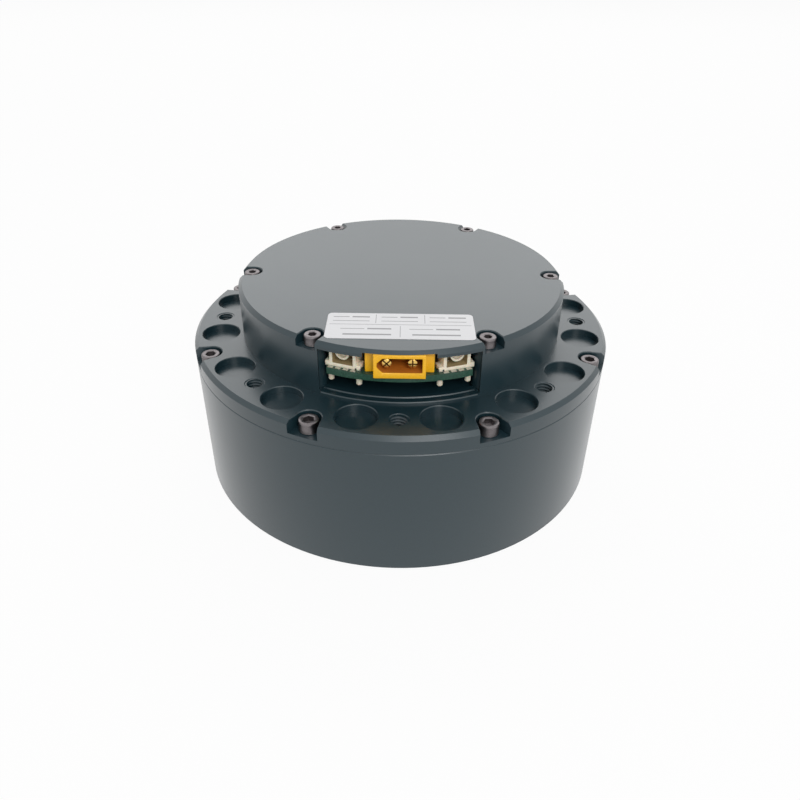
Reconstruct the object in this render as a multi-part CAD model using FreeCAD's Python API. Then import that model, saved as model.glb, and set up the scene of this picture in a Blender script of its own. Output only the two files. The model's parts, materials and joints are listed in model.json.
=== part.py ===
"""Planetary joint actuator: an outer-rotor motor and a single planetary stage in one round case.

Millimetres, +Z up. The origin is the centre of the front face, where the output flange turns, so the
driver cover with its connector window is on top. The window looks along -Y. Angles of the patterns are
measured from -Y towards +X.
"""
import FreeCAD, Part
import math
import os

Vector = FreeCAD.Vector

# --- Case and rear flange -------------------------------------------------------------------------
FRONT_WALL = 4.0
CASE_FRONT_CHAMFER = 0.5
SEAM_CHAMFER = 0.15
FLANGE_THICKNESS = 4.0
FLANGE_CHAMFER = 0.85
SPIGOT_DEPTH = 1.0
SPIGOT_WALL = 2.0
SPIGOT_CLEARANCE = 0.05

# --- Clearances -----------------------------------------------------------------------------------
SEAT_CLEARANCE = 0.02
RUNNING_CLEARANCE = 0.05
TURNING_GAP = 0.6
AIR_GAP = 0.5
ROTOR_TO_CASE_GAP = 0.4

# --- Front face and output ------------------------------------------------------------------------
BEARING_LIP = 1.0
DUST_LIP = 0.7
DUST_LIP_GAP = 0.4
OUTPUT_RECESS = 0.4
OUTPUT_RIM = 1.8
PILOT_RADIUS = 10.0
PILOT_DEPTH = 2.5
OUTPUT_HOLE_COUNT = 6
OUTPUT_HOLE_CIRCLE_RADIUS = 20.0
OUTPUT_HOLE_DEPTH = 5.0

# --- Output bearing -------------------------------------------------------------------------------
OUTPUT_BEARING_BORE_RADIUS = 25.0
OUTPUT_BEARING_WIDTH = 7.0
OUTPUT_BALL_RADIUS = 2.0
OUTPUT_BALL_COUNT = 28
OUTPUT_RACE_BACK = 1.75

# --- Shaft bearings -------------------------------------------------------------------------------
SHAFT_BEARING_BORE_RADIUS = 4.0
SHAFT_BEARING_WIDTH = 4.0
SHAFT_BALL_RADIUS = 1.0
SHAFT_BALL_COUNT = 11
SHAFT_RACE_BACK = 1.0
BEARING_TUBE_WALL = 3.0
BEARING_SHOULDER = 1.0

# --- Bearing details common to all ----------------------------------------------------------------
RACE_SHOULDER_SHARE = 0.62
BALL_CLEARANCE = 0.08
CAGE_SHARE = 0.35
CAGE_EDGE = 0.4

# --- Gears ----------------------------------------------------------------------------------------
MODULE = 1.0
PRESSURE_ANGLE = math.radians(25.0)
SUN_TEETH = 12
PLANET_TEETH = 24
RING_TEETH = SUN_TEETH + 2 * PLANET_TEETH
PLANET_COUNT = 3
ADDENDUM = 0.875
ROOT_CLEARANCE = 0.2
FLANK_THINNING = 0.06
FLANK_STEPS = 4
PLANET_FACE = 6.0
PLANET_SIDE_GAP = 0.5
RING_RIM = 2.4
RING_TUBE_WALL = 3.5
RING_TUBE_LIP = 0.6

# --- Carrier --------------------------------------------------------------------------------------
PLANET_PIN_RADIUS = 2.0
PLANET_PIN_SEAT = 3.0
BUSH_WALL = 0.95
BUSH_END_GAP = 0.3
POST_RADIUS = 4.0
POST_TO_RING_GAP = 3.125
CARRIER_PLATE_THICKNESS = 2.0
PLATE_TO_RING_GAP = 1.625
CARRIER_SCREW_RADIUS = 1.25
CARRIER_SCREW_HEAD_RADIUS = 2.4
CARRIER_SCREW_HEAD_HEIGHT = 1.3
CARRIER_SCREW_LENGTH = 6.0
SCREW_THREAD_CLEARANCE = 0.02
SCREW_HOLE_CLEARANCE = 0.15

# --- Rotor ----------------------------------------------------------------------------------------
ROTOR_WEB_THICKNESS = 1.8
FLUX_RING_THICKNESS = 1.8
MAGNET_THICKNESS = 1.6
MAGNET_COUNT = 28
MAGNET_ARC_SHARE = 0.86
MAGNET_OVERHANG = 0.5
WEB_WINDOW_COUNT = 6
WEB_WINDOW_RADIUS = 6.0
WEB_WINDOW_CIRCLE_RADIUS = 25.0
SUN_SEAT_RADIUS = 3.0
HUB_SEAT_RADIUS = 5.2
CLIP_RADIUS = 5.4
CLIP_THICKNESS = 0.6
ENCODER_MAGNET_RADIUS = 3.0
ENCODER_MAGNET_THICKNESS = 2.0

# --- Stator ---------------------------------------------------------------------------------------
CORE_LENGTH = 7.0
CORE_INNER_RADIUS = 28.5
CORE_BACK_THICKNESS = 3.0
TOOTH_NECK_LENGTH = 6.1
TOOTH_COUNT = 24
TOOTH_WIDTH = 3.4
TOOTH_SHOE = 1.3
SLOT_OPENING = 1.8
COIL_THICKNESS = 1.9
COIL_CLEARANCE = 0.05
COIL_END_GAP = 0.4
END_WINDING = 1.0
WINDING_TO_FLANGE_GAP = 1.3
STATOR_SEAT_WALL = 3.0
STATOR_SHOULDER = 1.8
LEAD_RADIUS = 0.9
LEAD_COUNT = 3
LEAD_HOLE_CLEARANCE = 0.4

# --- Rear flange pattern --------------------------------------------------------------------------
PATTERN_EDGE = 6.0
TAPPED_COUNT = 8
TAPPED_RADIUS = 1.65
TAPPED_MOUTH_RADIUS = 2.1
REAR_TAPPED_DEPTH = 3.4
FRONT_TAPPED_DEPTH = 8.0
FRONT_BOSS_RADIUS = 3.9
FRONT_BOSS_FLOOR = 2.0
POCKET_COUNT = 16
POCKET_RADIUS = 4.2
POCKET_DEPTH = 1.6
POCKET_CHAMFER = 0.15
CASE_SCREW_COUNT = 8
CASE_SCREW_INNER_WALL = 0.65
CASE_SCREW_OUTER_EDGE = 2.9
CASE_SCREW_HEAD_RADIUS = 2.0
CASE_SCREW_HEAD_HEIGHT = 2.5
CASE_SCREW_SINK = 0.3
CASE_SCREW_RADIUS = 1.25
CASE_SCREW_LENGTH = 8.0
CASE_SOCKET_FLATS = 2.0
CASE_SOCKET_DEPTH = 1.2
CASE_NOTCH_CLEARANCE = 0.55
CASE_NOTCH_FLARE = 0.75
SCREW_HEAD_CHAMFER = 0.25

# --- Driver cover ---------------------------------------------------------------------------------
COVER_TO_PATTERN = 5.0
COVER_WALL = 3.0
COVER_ROOF = 1.5
COVER_CHAMFER = 0.85
COVER_SCREW_COUNT = 6
COVER_SCREW_EDGE = 2.6
COVER_SCREW_HEAD_RADIUS = 1.7
COVER_SCREW_HEAD_HEIGHT = 2.1
COVER_SCREW_SINK = 0.1
COVER_SCREW_RADIUS = 1.0
COVER_SCREW_GRIP = 3.0
COVER_SOCKET_FLATS = 1.5
COVER_SOCKET_DEPTH = 1.0
COVER_NOTCH_CLEARANCE = 0.6
COVER_BOSS_WALL = 1.6
WINDOW_TO_SCREW = 1.2
WINDOW_SILL = 0.75
LABEL_TO_NOTCH = 0.1
LABEL_DEPTH = 10.8
LABEL_THICKNESS = 0.1
LABEL_CORNER_RADIUS = 1.0
LABEL_FRONT_OFFSET = 5.2

# --- Circuit board --------------------------------------------------------------------------------
BOARD_THICKNESS = 1.4
BOARD_STANDOFF = 4.6
BOARD_EDGE_GAP = 0.4
BOARD_TAB_SIDE_GAP = 1.6
BOARD_TAB_SETBACK = 1.0
STANDOFF_COUNT = 4
STANDOFF_RADIUS = 2.5
STANDOFF_CIRCLE_RADIUS = 27.0
BOARD_SCREW_RADIUS = 1.0
BOARD_SCREW_HEAD_RADIUS = 1.9
BOARD_SCREW_HEAD_HEIGHT = 1.3
BOARD_SCREW_LENGTH = 5.0
BOARD_SOCKET_FLATS = 1.5
BOARD_SOCKET_DEPTH = 0.8
ENCODER_CHIP_SIDE = 5.0
ENCODER_CHIP_HEIGHT = 1.0
ENCODER_GAP = 1.2
TRANSISTOR_COUNT = 6
TRANSISTOR_LENGTH = 6.0
TRANSISTOR_WIDTH = 5.0
TRANSISTOR_HEIGHT = 1.0
TRANSISTOR_CIRCLE_RADIUS = 17.0
CONTROL_CHIP_SIDE = 7.0
CONTROL_CHIP_HEIGHT = 0.9
CONTROL_CHIP_OFFSET = 6.0
CAPACITOR_COUNT = 4
CAPACITOR_LENGTH = 3.2
CAPACITOR_WIDTH = 2.5
CAPACITOR_HEIGHT = 2.4
CAPACITOR_SPACING = 4.2
CAPACITOR_GAP = 1.0

# --- Power connector ------------------------------------------------------------------------------
POWER_NOSE_WIDTH = 10.1
POWER_NOSE_DEPTH = 2.5
POWER_HEIGHT = 5.1
POWER_EAR_WIDTH = 13.5
POWER_EAR_DEPTH = 2.6
POWER_BACK_DEPTH = 7.0
POWER_EAR_DROP = 0.15
POWER_CAVITY_WIDTH = 8.7
POWER_CAVITY_HEIGHT = 3.1
POWER_CAVITY_FLOOR = 1.25
POWER_CAVITY_DEPTH = 8.0
POWER_KEY_CHAMFER = 1.1
POWER_ROOF_GAP = 0.05
POWER_PIN_RADIUS = 1.0
POWER_PIN_PITCH = 5.0
POWER_PIN_RECESS = 0.9
POWER_PIN_SLIT = 0.25
POWER_PIN_SLIT_DEPTH = 3.0

# --- Signal connectors ----------------------------------------------------------------------------
SIGNAL_ANGLE = 18.7
SIGNAL_SETBACK = 2.1
SIGNAL_WIDTH = 5.6
SIGNAL_HEIGHT = 4.1
SIGNAL_DEPTH = 4.2
SIGNAL_ROOF_GAP = 0.2
SIGNAL_CAVITY_WIDTH = 4.3
SIGNAL_CAVITY_FLOOR = 0.75
SIGNAL_CAVITY_HEIGHT = 2.5
SIGNAL_CAVITY_DEPTH = 3.2
SIGNAL_LATCH_RADIUS = 1.45
SIGNAL_LATCH_RECESS_RADIUS = 1.05
SIGNAL_LATCH_RECESS_DEPTH = 0.8
SIGNAL_TAB_WIDTH = 0.9
SIGNAL_PEG_MARGIN = 0.1
SIGNAL_TAB_HEIGHT = 1.0
SIGNAL_PEG_RADIUS = 0.6
SIGNAL_PEG_LENGTH = 1.3
SIGNAL_PEG_CLEARANCE = 0.05
SIGNAL_CONTACT_COUNT = 3
SIGNAL_CONTACT_PITCH = 1.25
SIGNAL_CONTACT_SIZE = 0.4
SIGNAL_CONTACT_LENGTH = 2.6
SIGNAL_CONTACT_LIFT = 1.3

# --- Heights, counted up from the front face ------------------------------------------------------
BEARING_TOP = BEARING_LIP + OUTPUT_BEARING_WIDTH
HUB_TOP = BEARING_TOP
PLANET_BOTTOM = HUB_TOP + PLANET_SIDE_GAP
PLANET_TOP = PLANET_BOTTOM + PLANET_FACE
PLATE_BOTTOM = PLANET_TOP + PLANET_SIDE_GAP
PLATE_TOP = PLATE_BOTTOM + CARRIER_PLATE_THICKNESS
WEB_BOTTOM = PLATE_TOP + TURNING_GAP
WEB_TOP = WEB_BOTTOM + ROTOR_WEB_THICKNESS
WINDING_BOTTOM = WEB_TOP + TURNING_GAP
CORE_BOTTOM = WINDING_BOTTOM + END_WINDING
CORE_TOP = CORE_BOTTOM + CORE_LENGTH
WINDING_TOP = CORE_TOP + END_WINDING
CASE_TOP = WINDING_TOP + WINDING_TO_FLANGE_GAP
FLANGE_TOP = CASE_TOP + FLANGE_THICKNESS
BOARD_BOTTOM = FLANGE_TOP + BOARD_STANDOFF
BOARD_TOP = BOARD_BOTTOM + BOARD_THICKNESS
ROOF_BOTTOM = BOARD_TOP + SIGNAL_HEIGHT + SIGNAL_ROOF_GAP
COVER_TOP = ROOF_BOTTOM + COVER_ROOF
SHAFT_TOP = BOARD_BOTTOM - ENCODER_CHIP_HEIGHT - ENCODER_GAP - ENCODER_MAGNET_THICKNESS
TUBE_BOTTOM = WEB_TOP + TURNING_GAP
LOWER_BEARING_BOTTOM = TUBE_BOTTOM + ROTOR_TO_CASE_GAP
UPPER_BEARING_BOTTOM = FLANGE_TOP - BEARING_SHOULDER / 2 - SHAFT_BEARING_WIDTH

# --- Radii ----------------------------------------------------------------------------------------
OUTPUT_BEARING_RADIUS = OUTPUT_BEARING_BORE_RADIUS + 2 * (OUTPUT_BALL_RADIUS + OUTPUT_RACE_BACK)
SHAFT_BEARING_RADIUS = SHAFT_BEARING_BORE_RADIUS + 2 * (SHAFT_BALL_RADIUS + SHAFT_RACE_BACK)
CORE_BACK_RADIUS = CORE_INNER_RADIUS + CORE_BACK_THICKNESS
SHOE_RADIUS = CORE_BACK_RADIUS + TOOTH_NECK_LENGTH
CORE_RADIUS = SHOE_RADIUS + TOOTH_SHOE
MAGNET_INNER_RADIUS = CORE_RADIUS + AIR_GAP
MAGNET_OUTER_RADIUS = MAGNET_INNER_RADIUS + MAGNET_THICKNESS
FLUX_OUTER_RADIUS = MAGNET_OUTER_RADIUS + FLUX_RING_THICKNESS
CASE_INNER_RADIUS = FLUX_OUTER_RADIUS + ROTOR_TO_CASE_GAP
CASE_SCREW_CIRCLE_RADIUS = CASE_INNER_RADIUS + CASE_SCREW_INNER_WALL + CASE_SCREW_RADIUS
BODY_RADIUS = CASE_SCREW_CIRCLE_RADIUS + CASE_SCREW_OUTER_EDGE
PATTERN_RADIUS = BODY_RADIUS - PATTERN_EDGE
COVER_RADIUS = PATTERN_RADIUS - COVER_TO_PATTERN
SUN_PITCH_RADIUS = MODULE * SUN_TEETH / 2
PLANET_PITCH_RADIUS = MODULE * PLANET_TEETH / 2
RING_PITCH_RADIUS = MODULE * RING_TEETH / 2
PLANET_CIRCLE_RADIUS = SUN_PITCH_RADIUS + PLANET_PITCH_RADIUS
TIP_HEIGHT = ADDENDUM * MODULE
ROOT_DEPTH = TIP_HEIGHT + ROOT_CLEARANCE
RING_ROOT_RADIUS = RING_PITCH_RADIUS + ROOT_DEPTH
RING_TIP_RADIUS = RING_PITCH_RADIUS - TIP_HEIGHT
RING_OUTER_RADIUS = RING_ROOT_RADIUS + RING_RIM
POST_CIRCLE_RADIUS = RING_TIP_RADIUS - POST_TO_RING_GAP - POST_RADIUS
COVER_INNER_RADIUS = COVER_RADIUS - COVER_WALL
COVER_SCREW_CIRCLE_RADIUS = COVER_RADIUS - COVER_SCREW_EDGE
COVER_SCREW_SIDE = COVER_SCREW_CIRCLE_RADIUS * math.sin(math.pi / COVER_SCREW_COUNT)
COVER_NOTCH_RADIUS = COVER_SCREW_HEAD_RADIUS + COVER_NOTCH_CLEARANCE
WINDOW_HALF_WIDTH = COVER_SCREW_SIDE - WINDOW_TO_SCREW
SIGNAL_FRONT_RADIUS = COVER_RADIUS - SIGNAL_SETBACK
POWER_FRONT_Y = -COVER_RADIUS
FULL_TURN = 360.0


# --- Small helpers --------------------------------------------------------------------------------
def polar(radius, angle):
    """X and Y of a point at this radius, its angle measured from -Y towards +X."""
    turn = math.radians(angle)
    return radius * math.sin(turn), -radius * math.cos(turn)


def disc(radius, bottom, top, x=0.0, y=0.0):
    return Part.makeCylinder(radius, top - bottom, Vector(x, y, bottom))


def tube(inner, outer, bottom, top, x=0.0, y=0.0):
    return disc(outer, bottom, top, x, y).cut(disc(inner, bottom, top, x, y))


def block(x0, x1, y0, y1, z0, z1):
    return Part.makeBox(x1 - x0, y1 - y0, z1 - z0, Vector(x0, y0, z0))


def prism(points, bottom, top):
    """Straight solid over a closed outline of X and Y points."""
    corners = [Vector(x, y, bottom) for x, y in points]
    face = Part.Face(Part.makePolygon(corners + corners[:1]))
    return face.extrude(Vector(0, 0, top - bottom))


def turned(profile):
    """Solid of revolution about Z from a closed outline of radius and height points."""
    corners = [Vector(radius, 0, height) for radius, height in profile]
    face = Part.Face(Part.makePolygon(corners + corners[:1]))
    return face.revolve(Vector(0, 0, 0), Vector(0, 0, 1), FULL_TURN)


def chamfered_disc(radius, bottom, top, bottom_chamfer, top_chamfer):
    return turned([
        (0, bottom), (radius - bottom_chamfer, bottom), (radius, bottom + bottom_chamfer),
        (radius, top - top_chamfer), (radius - top_chamfer, top), (0, top)])


def spun(shape, angle):
    """Copy turned about Z by this angle."""
    copy = shape.copy()
    copy.rotate(Vector(0, 0, 0), Vector(0, 0, 1), angle)
    return copy


def moved(shape, x, y, z):
    copy = shape.copy()
    copy.translate(Vector(x, y, z))
    return copy


def around(count, radius, first=0.0):
    """Evenly spaced places on a circle: X, Y and angle of each."""
    angles = [first + FULL_TURN * index / count for index in range(count)]
    return [polar(radius, angle) + (angle,) for angle in angles]


def repeated(shape, count, radius, first=0.0):
    """Copies of a shape made at the origin, each turned to face outward on its circle."""
    return [moved(spun(shape, angle), x, y, 0) for x, y, angle in around(count, radius, first)]


def group(solids):
    return Part.makeCompound(solids)


def mouth(radius, wide, top):
    """Cone that bevels the mouth of a hole that opens upward at this height."""
    return Part.makeCone(radius, wide, wide - radius, Vector(0, 0, top - (wide - radius)))


def cap_screw(head_radius, head_height, radius, length, flats, socket_depth):
    """Socket cap screw along Z: the head stands on z = 0 and the shank hangs below it."""
    head = chamfered_disc(head_radius, 0, head_height, 0, SCREW_HEAD_CHAMFER)
    corner = flats / math.sqrt(3)
    hexagon = [polar(corner, FULL_TURN * side / 6) for side in range(6)]
    socket = prism(hexagon, head_height - socket_depth, head_height)
    shank = turned([
        (0, -length), (radius - SCREW_HEAD_CHAMFER, -length), (radius, SCREW_HEAD_CHAMFER - length),
        (radius, 0), (0, 0)])
    return head.cut(socket).fuse(shank).removeSplitter()


# --- Bearings -------------------------------------------------------------------------------------
def ball_bearing(bore, outer, bottom, width, ball, count):
    """Inner ring, outer ring, cage and balls of a deep groove bearing."""
    pitch = (bore + outer) / 2
    middle = bottom + width / 2
    shoulder = ball * RACE_SHOULDER_SHARE
    groove = Part.makeTorus(pitch, ball + BALL_CLEARANCE, Vector(0, 0, middle))
    inner_ring = tube(bore, pitch - shoulder, bottom, bottom + width).cut(groove)
    outer_ring = tube(pitch + shoulder, outer - SEAT_CLEARANCE, bottom, bottom + width).cut(groove)
    balls = [Part.makeSphere(ball, Vector(x, y, middle)) for x, y, angle in around(count, pitch)]
    pocket = Part.makeCylinder(ball + SEAT_CLEARANCE, 2 * ball, Vector(0, ball, middle), Vector(0, -1, 0))
    pockets = repeated(pocket, count, pitch)
    half_height = ball + CAGE_EDGE
    cage = tube(pitch - ball * CAGE_SHARE, pitch + ball * CAGE_SHARE, middle - half_height, middle + half_height)
    return inner_ring, outer_ring, cage.cut(group(pockets)), balls


# --- Gears ----------------------------------------------------------------------------------------
def involute(angle):
    return math.tan(angle) - angle


def gear_outline(teeth, tip_radius, root_radius, thickness):
    """Outline with a tooth centred on -Y; thickness is the tooth's arc on the pitch circle."""
    pitch_radius = MODULE * teeth / 2
    base_radius = pitch_radius * math.cos(PRESSURE_ANGLE)
    flank_start = max(base_radius, root_radius)

    def half_angle(radius):
        flank_angle = math.acos(min(1.0, base_radius / radius))
        return thickness / (2 * pitch_radius) + involute(PRESSURE_ANGLE) - involute(flank_angle)

    span = tip_radius - flank_start
    radii = [flank_start + span * step / FLANK_STEPS for step in range(FLANK_STEPS + 1)]
    flank = [(radius, math.degrees(half_angle(radius))) for radius in radii]
    if root_radius < base_radius:
        flank.insert(0, (root_radius, flank[0][1]))
    outline = []
    for tooth in range(teeth):
        centre = FULL_TURN * tooth / teeth
        outline += [polar(radius, centre - half) for radius, half in flank]
        outline += [polar(radius, centre + half) for radius, half in reversed(flank)]
    return outline


def outer_gear(teeth, bore, bottom, top):
    pitch_radius = MODULE * teeth / 2
    thickness = math.pi * MODULE / 2 - FLANK_THINNING
    outline = gear_outline(teeth, pitch_radius + TIP_HEIGHT, pitch_radius - ROOT_DEPTH, thickness)
    return prism(outline, bottom, top).cut(disc(bore, bottom, top))


def make_ring_gear():
    space = math.pi * MODULE / 2 + FLANK_THINNING
    outline = gear_outline(RING_TEETH, RING_ROOT_RADIUS, RING_TIP_RADIUS, space)
    opening = spun(prism(outline, HUB_TOP, PLATE_BOTTOM), FULL_TURN / RING_TEETH / 2)
    return disc(RING_OUTER_RADIUS, HUB_TOP, PLATE_BOTTOM).cut(opening)


def make_sun_gear():
    return outer_gear(SUN_TEETH, SUN_SEAT_RADIUS + SEAT_CLEARANCE, PLANET_BOTTOM, WEB_BOTTOM)


def make_planets():
    """Planet gears, each with a space towards the sun and a space towards the ring."""
    bore = PLANET_PIN_RADIUS + RUNNING_CLEARANCE + BUSH_WALL
    gear = outer_gear(PLANET_TEETH, bore + SEAT_CLEARANCE, PLANET_BOTTOM, PLANET_TOP)
    gear = spun(gear, FULL_TURN / PLANET_TEETH / 2)
    return repeated(gear, PLANET_COUNT, PLANET_CIRCLE_RADIUS)


def make_planet_bushes():
    inner = PLANET_PIN_RADIUS + RUNNING_CLEARANCE
    bush = tube(inner, inner + BUSH_WALL, HUB_TOP + BUSH_END_GAP, PLATE_BOTTOM - BUSH_END_GAP)
    return repeated(bush, PLANET_COUNT, PLANET_CIRCLE_RADIUS)


# --- Case -----------------------------------------------------------------------------------------
def tapped_hole(bottom, top):
    """Cutter for a tapped hole that opens upward: core diameter with a bevelled mouth."""
    return disc(TAPPED_RADIUS, bottom, top).fuse(mouth(TAPPED_RADIUS, TAPPED_MOUTH_RADIUS, top))


def make_front_housing():
    """Cup with a tube for the output bearing and the ring gear, and bosses for the front pattern."""
    ring_seat = RING_OUTER_RADIUS + SEAT_CLEARANCE
    tube_top = PLATE_BOTTOM + RING_TUBE_LIP
    boss_top = FRONT_TAPPED_DEPTH + FRONT_BOSS_FLOOR
    housing = chamfered_disc(BODY_RADIUS, 0, CASE_TOP, CASE_FRONT_CHAMFER, SEAM_CHAMFER)
    hollow = tube(ring_seat + RING_TUBE_WALL, CASE_INNER_RADIUS, FRONT_WALL, CASE_TOP)
    bosses = [disc(FRONT_BOSS_RADIUS, FRONT_WALL, boss_top, x, y)
              for x, y, angle in around(TAPPED_COUNT, PATTERN_RADIUS)]
    hollow = hollow.cut(group(bosses))
    dust_opening = OUTPUT_BEARING_BORE_RADIUS + OUTPUT_RIM + DUST_LIP_GAP
    bores = turned([
        (0, 0), (dust_opening, 0), (dust_opening, DUST_LIP),
        (OUTPUT_BEARING_RADIUS - OUTPUT_RIM, DUST_LIP), (OUTPUT_BEARING_RADIUS - OUTPUT_RIM, BEARING_LIP),
        (OUTPUT_BEARING_RADIUS, BEARING_LIP), (OUTPUT_BEARING_RADIUS, BEARING_TOP),
        (ring_seat, BEARING_TOP), (ring_seat, tube_top),
        (ring_seat + RING_TUBE_WALL, tube_top), (ring_seat + RING_TUBE_WALL, CASE_TOP), (0, CASE_TOP)])
    tapped = tapped_hole(-FRONT_TAPPED_DEPTH, 0)
    tapped.rotate(Vector(0, 0, 0), Vector(1, 0, 0), FULL_TURN / 2)
    screw_bottom = case_screw_seat() - CASE_SCREW_LENGTH - SCREW_HOLE_CLEARANCE
    threaded = disc(CASE_SCREW_RADIUS + SCREW_THREAD_CLEARANCE, screw_bottom, CASE_TOP)
    holes = repeated(tapped, TAPPED_COUNT, PATTERN_RADIUS)
    holes += repeated(threaded, CASE_SCREW_COUNT, CASE_SCREW_CIRCLE_RADIUS, case_screw_start())
    return housing.cut(group([hollow])).cut(bores).cut(group(holes))


def case_screw_seat():
    return FLANGE_TOP - CASE_SCREW_SINK - CASE_SCREW_HEAD_HEIGHT


def case_screw_start():
    return FULL_TURN / CASE_SCREW_COUNT / 2


def case_screw_notch():
    """Counterbore that opens outward through the rim and flares a little on the way."""
    near = CASE_SCREW_HEAD_RADIUS + CASE_NOTCH_CLEARANCE
    far = near + CASE_NOTCH_FLARE
    reach = BODY_RADIUS - CASE_SCREW_CIRCLE_RADIUS
    seat = case_screw_seat()
    way_out = prism([(-near, 0), (near, 0), (far, -reach), (far, -2 * reach), (-far, -2 * reach), (-far, -reach)],
                    seat, FLANGE_TOP)
    return disc(near, seat, FLANGE_TOP).fuse(way_out)


def make_rear_flange():
    """Plate with pockets, tapped holes and screw notches; it carries the stator and the shaft bearings."""
    spigot_radius = CASE_INNER_RADIUS - SPIGOT_CLEARANCE
    seat_radius = CORE_INNER_RADIUS - SEAT_CLEARANCE
    plate = chamfered_disc(BODY_RADIUS, CASE_TOP, FLANGE_TOP, SEAM_CHAMFER, FLANGE_CHAMFER)
    spigot = tube(spigot_radius - SPIGOT_WALL, spigot_radius, CASE_TOP - SPIGOT_DEPTH, CASE_TOP)
    stator_seat = tube(seat_radius - STATOR_SEAT_WALL, seat_radius, CORE_BOTTOM, CASE_TOP)
    stator_stop = tube(seat_radius - STATOR_SEAT_WALL, seat_radius + STATOR_SHOULDER, CORE_TOP, CASE_TOP)
    bearing_tube = disc(SHAFT_BEARING_RADIUS + BEARING_TUBE_WALL, TUBE_BOTTOM, CASE_TOP)
    flange = plate.fuse([spigot, stator_seat, stator_stop, bearing_tube]).removeSplitter()
    lower_top = LOWER_BEARING_BOTTOM + SHAFT_BEARING_WIDTH
    bore = turned([
        (0, TUBE_BOTTOM), (SHAFT_BEARING_RADIUS, TUBE_BOTTOM), (SHAFT_BEARING_RADIUS, lower_top),
        (SHAFT_BEARING_RADIUS - BEARING_SHOULDER, lower_top),
        (SHAFT_BEARING_RADIUS - BEARING_SHOULDER, UPPER_BEARING_BOTTOM),
        (SHAFT_BEARING_RADIUS, UPPER_BEARING_BOTTOM), (SHAFT_BEARING_RADIUS, FLANGE_TOP), (0, FLANGE_TOP)])
    pocket = disc(POCKET_RADIUS, FLANGE_TOP - POCKET_DEPTH, FLANGE_TOP)
    pocket = pocket.fuse(mouth(POCKET_RADIUS, POCKET_RADIUS + POCKET_CHAMFER, FLANGE_TOP))
    case_hole = disc(CASE_SCREW_RADIUS + SCREW_HOLE_CLEARANCE, CASE_TOP, FLANGE_TOP)
    cover_hole = disc(COVER_SCREW_RADIUS + SCREW_THREAD_CLEARANCE,
                      FLANGE_TOP - COVER_SCREW_GRIP - SCREW_HOLE_CLEARANCE, FLANGE_TOP)
    board_hole = disc(BOARD_SCREW_RADIUS + SCREW_THREAD_CLEARANCE,
                      BOARD_TOP - BOARD_SCREW_LENGTH - SCREW_HOLE_CLEARANCE, FLANGE_TOP + BOARD_STANDOFF)
    lead_hole = disc(LEAD_RADIUS + LEAD_HOLE_CLEARANCE, CASE_TOP, FLANGE_TOP)
    cuts = repeated(tapped_hole(FLANGE_TOP - REAR_TAPPED_DEPTH, FLANGE_TOP), TAPPED_COUNT, PATTERN_RADIUS)
    cuts += repeated(pocket, POCKET_COUNT, PATTERN_RADIUS, FULL_TURN / POCKET_COUNT / 2)
    cuts += repeated(case_screw_notch(), CASE_SCREW_COUNT, CASE_SCREW_CIRCLE_RADIUS, case_screw_start())
    cuts += repeated(case_hole, CASE_SCREW_COUNT, CASE_SCREW_CIRCLE_RADIUS, case_screw_start())
    cuts += repeated(cover_hole, COVER_SCREW_COUNT, COVER_SCREW_CIRCLE_RADIUS, cover_screw_start())
    cuts += repeated(board_hole, STANDOFF_COUNT, STANDOFF_CIRCLE_RADIUS, standoff_start())
    cuts += [moved(lead_hole, x, y, 0) for x, y in lead_places()]
    return flange.cut(bore).cut(group(cuts))


def make_case_screws():
    screw = cap_screw(CASE_SCREW_HEAD_RADIUS, CASE_SCREW_HEAD_HEIGHT, CASE_SCREW_RADIUS,
                      CASE_SCREW_LENGTH, CASE_SOCKET_FLATS, CASE_SOCKET_DEPTH)
    screw = moved(screw, 0, 0, case_screw_seat())
    return repeated(screw, CASE_SCREW_COUNT, CASE_SCREW_CIRCLE_RADIUS, case_screw_start())


# --- Output side ----------------------------------------------------------------------------------
def post_start():
    return FULL_TURN / PLANET_COUNT / 2


def make_output_flange():
    """Turning front flange: it is the planet carrier too, with pins and posts on its inner face."""
    seat_radius = OUTPUT_BEARING_BORE_RADIUS - SEAT_CLEARANCE
    rim_radius = OUTPUT_BEARING_BORE_RADIUS + OUTPUT_RIM
    body = turned([
        (0, OUTPUT_RECESS), (rim_radius, OUTPUT_RECESS), (rim_radius, BEARING_LIP),
        (seat_radius, BEARING_LIP), (seat_radius, HUB_TOP), (0, HUB_TOP)])
    posts = repeated(disc(POST_RADIUS, HUB_TOP, PLATE_BOTTOM), PLANET_COUNT, POST_CIRCLE_RADIUS, post_start())
    body = body.fuse(posts)
    pilot = disc(PILOT_RADIUS, OUTPUT_RECESS, OUTPUT_RECESS + PILOT_DEPTH)
    tapped = tapped_hole(-OUTPUT_HOLE_DEPTH, 0)
    tapped.rotate(Vector(0, 0, 0), Vector(1, 0, 0), FULL_TURN / 2)
    tapped = moved(tapped, 0, 0, OUTPUT_RECESS)
    pin_seat = disc(PLANET_PIN_RADIUS + SEAT_CLEARANCE, HUB_TOP - PLANET_PIN_SEAT, HUB_TOP)
    thread = disc(CARRIER_SCREW_RADIUS + SCREW_THREAD_CLEARANCE,
                  PLATE_TOP - CARRIER_SCREW_LENGTH - SCREW_HOLE_CLEARANCE, PLATE_BOTTOM)
    cuts = [pilot]
    cuts += repeated(tapped, OUTPUT_HOLE_COUNT, OUTPUT_HOLE_CIRCLE_RADIUS, FULL_TURN / OUTPUT_HOLE_COUNT / 2)
    cuts += repeated(pin_seat, PLANET_COUNT, PLANET_CIRCLE_RADIUS)
    cuts += repeated(thread, PLANET_COUNT, POST_CIRCLE_RADIUS, post_start())
    return body.cut(group(cuts))


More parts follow.
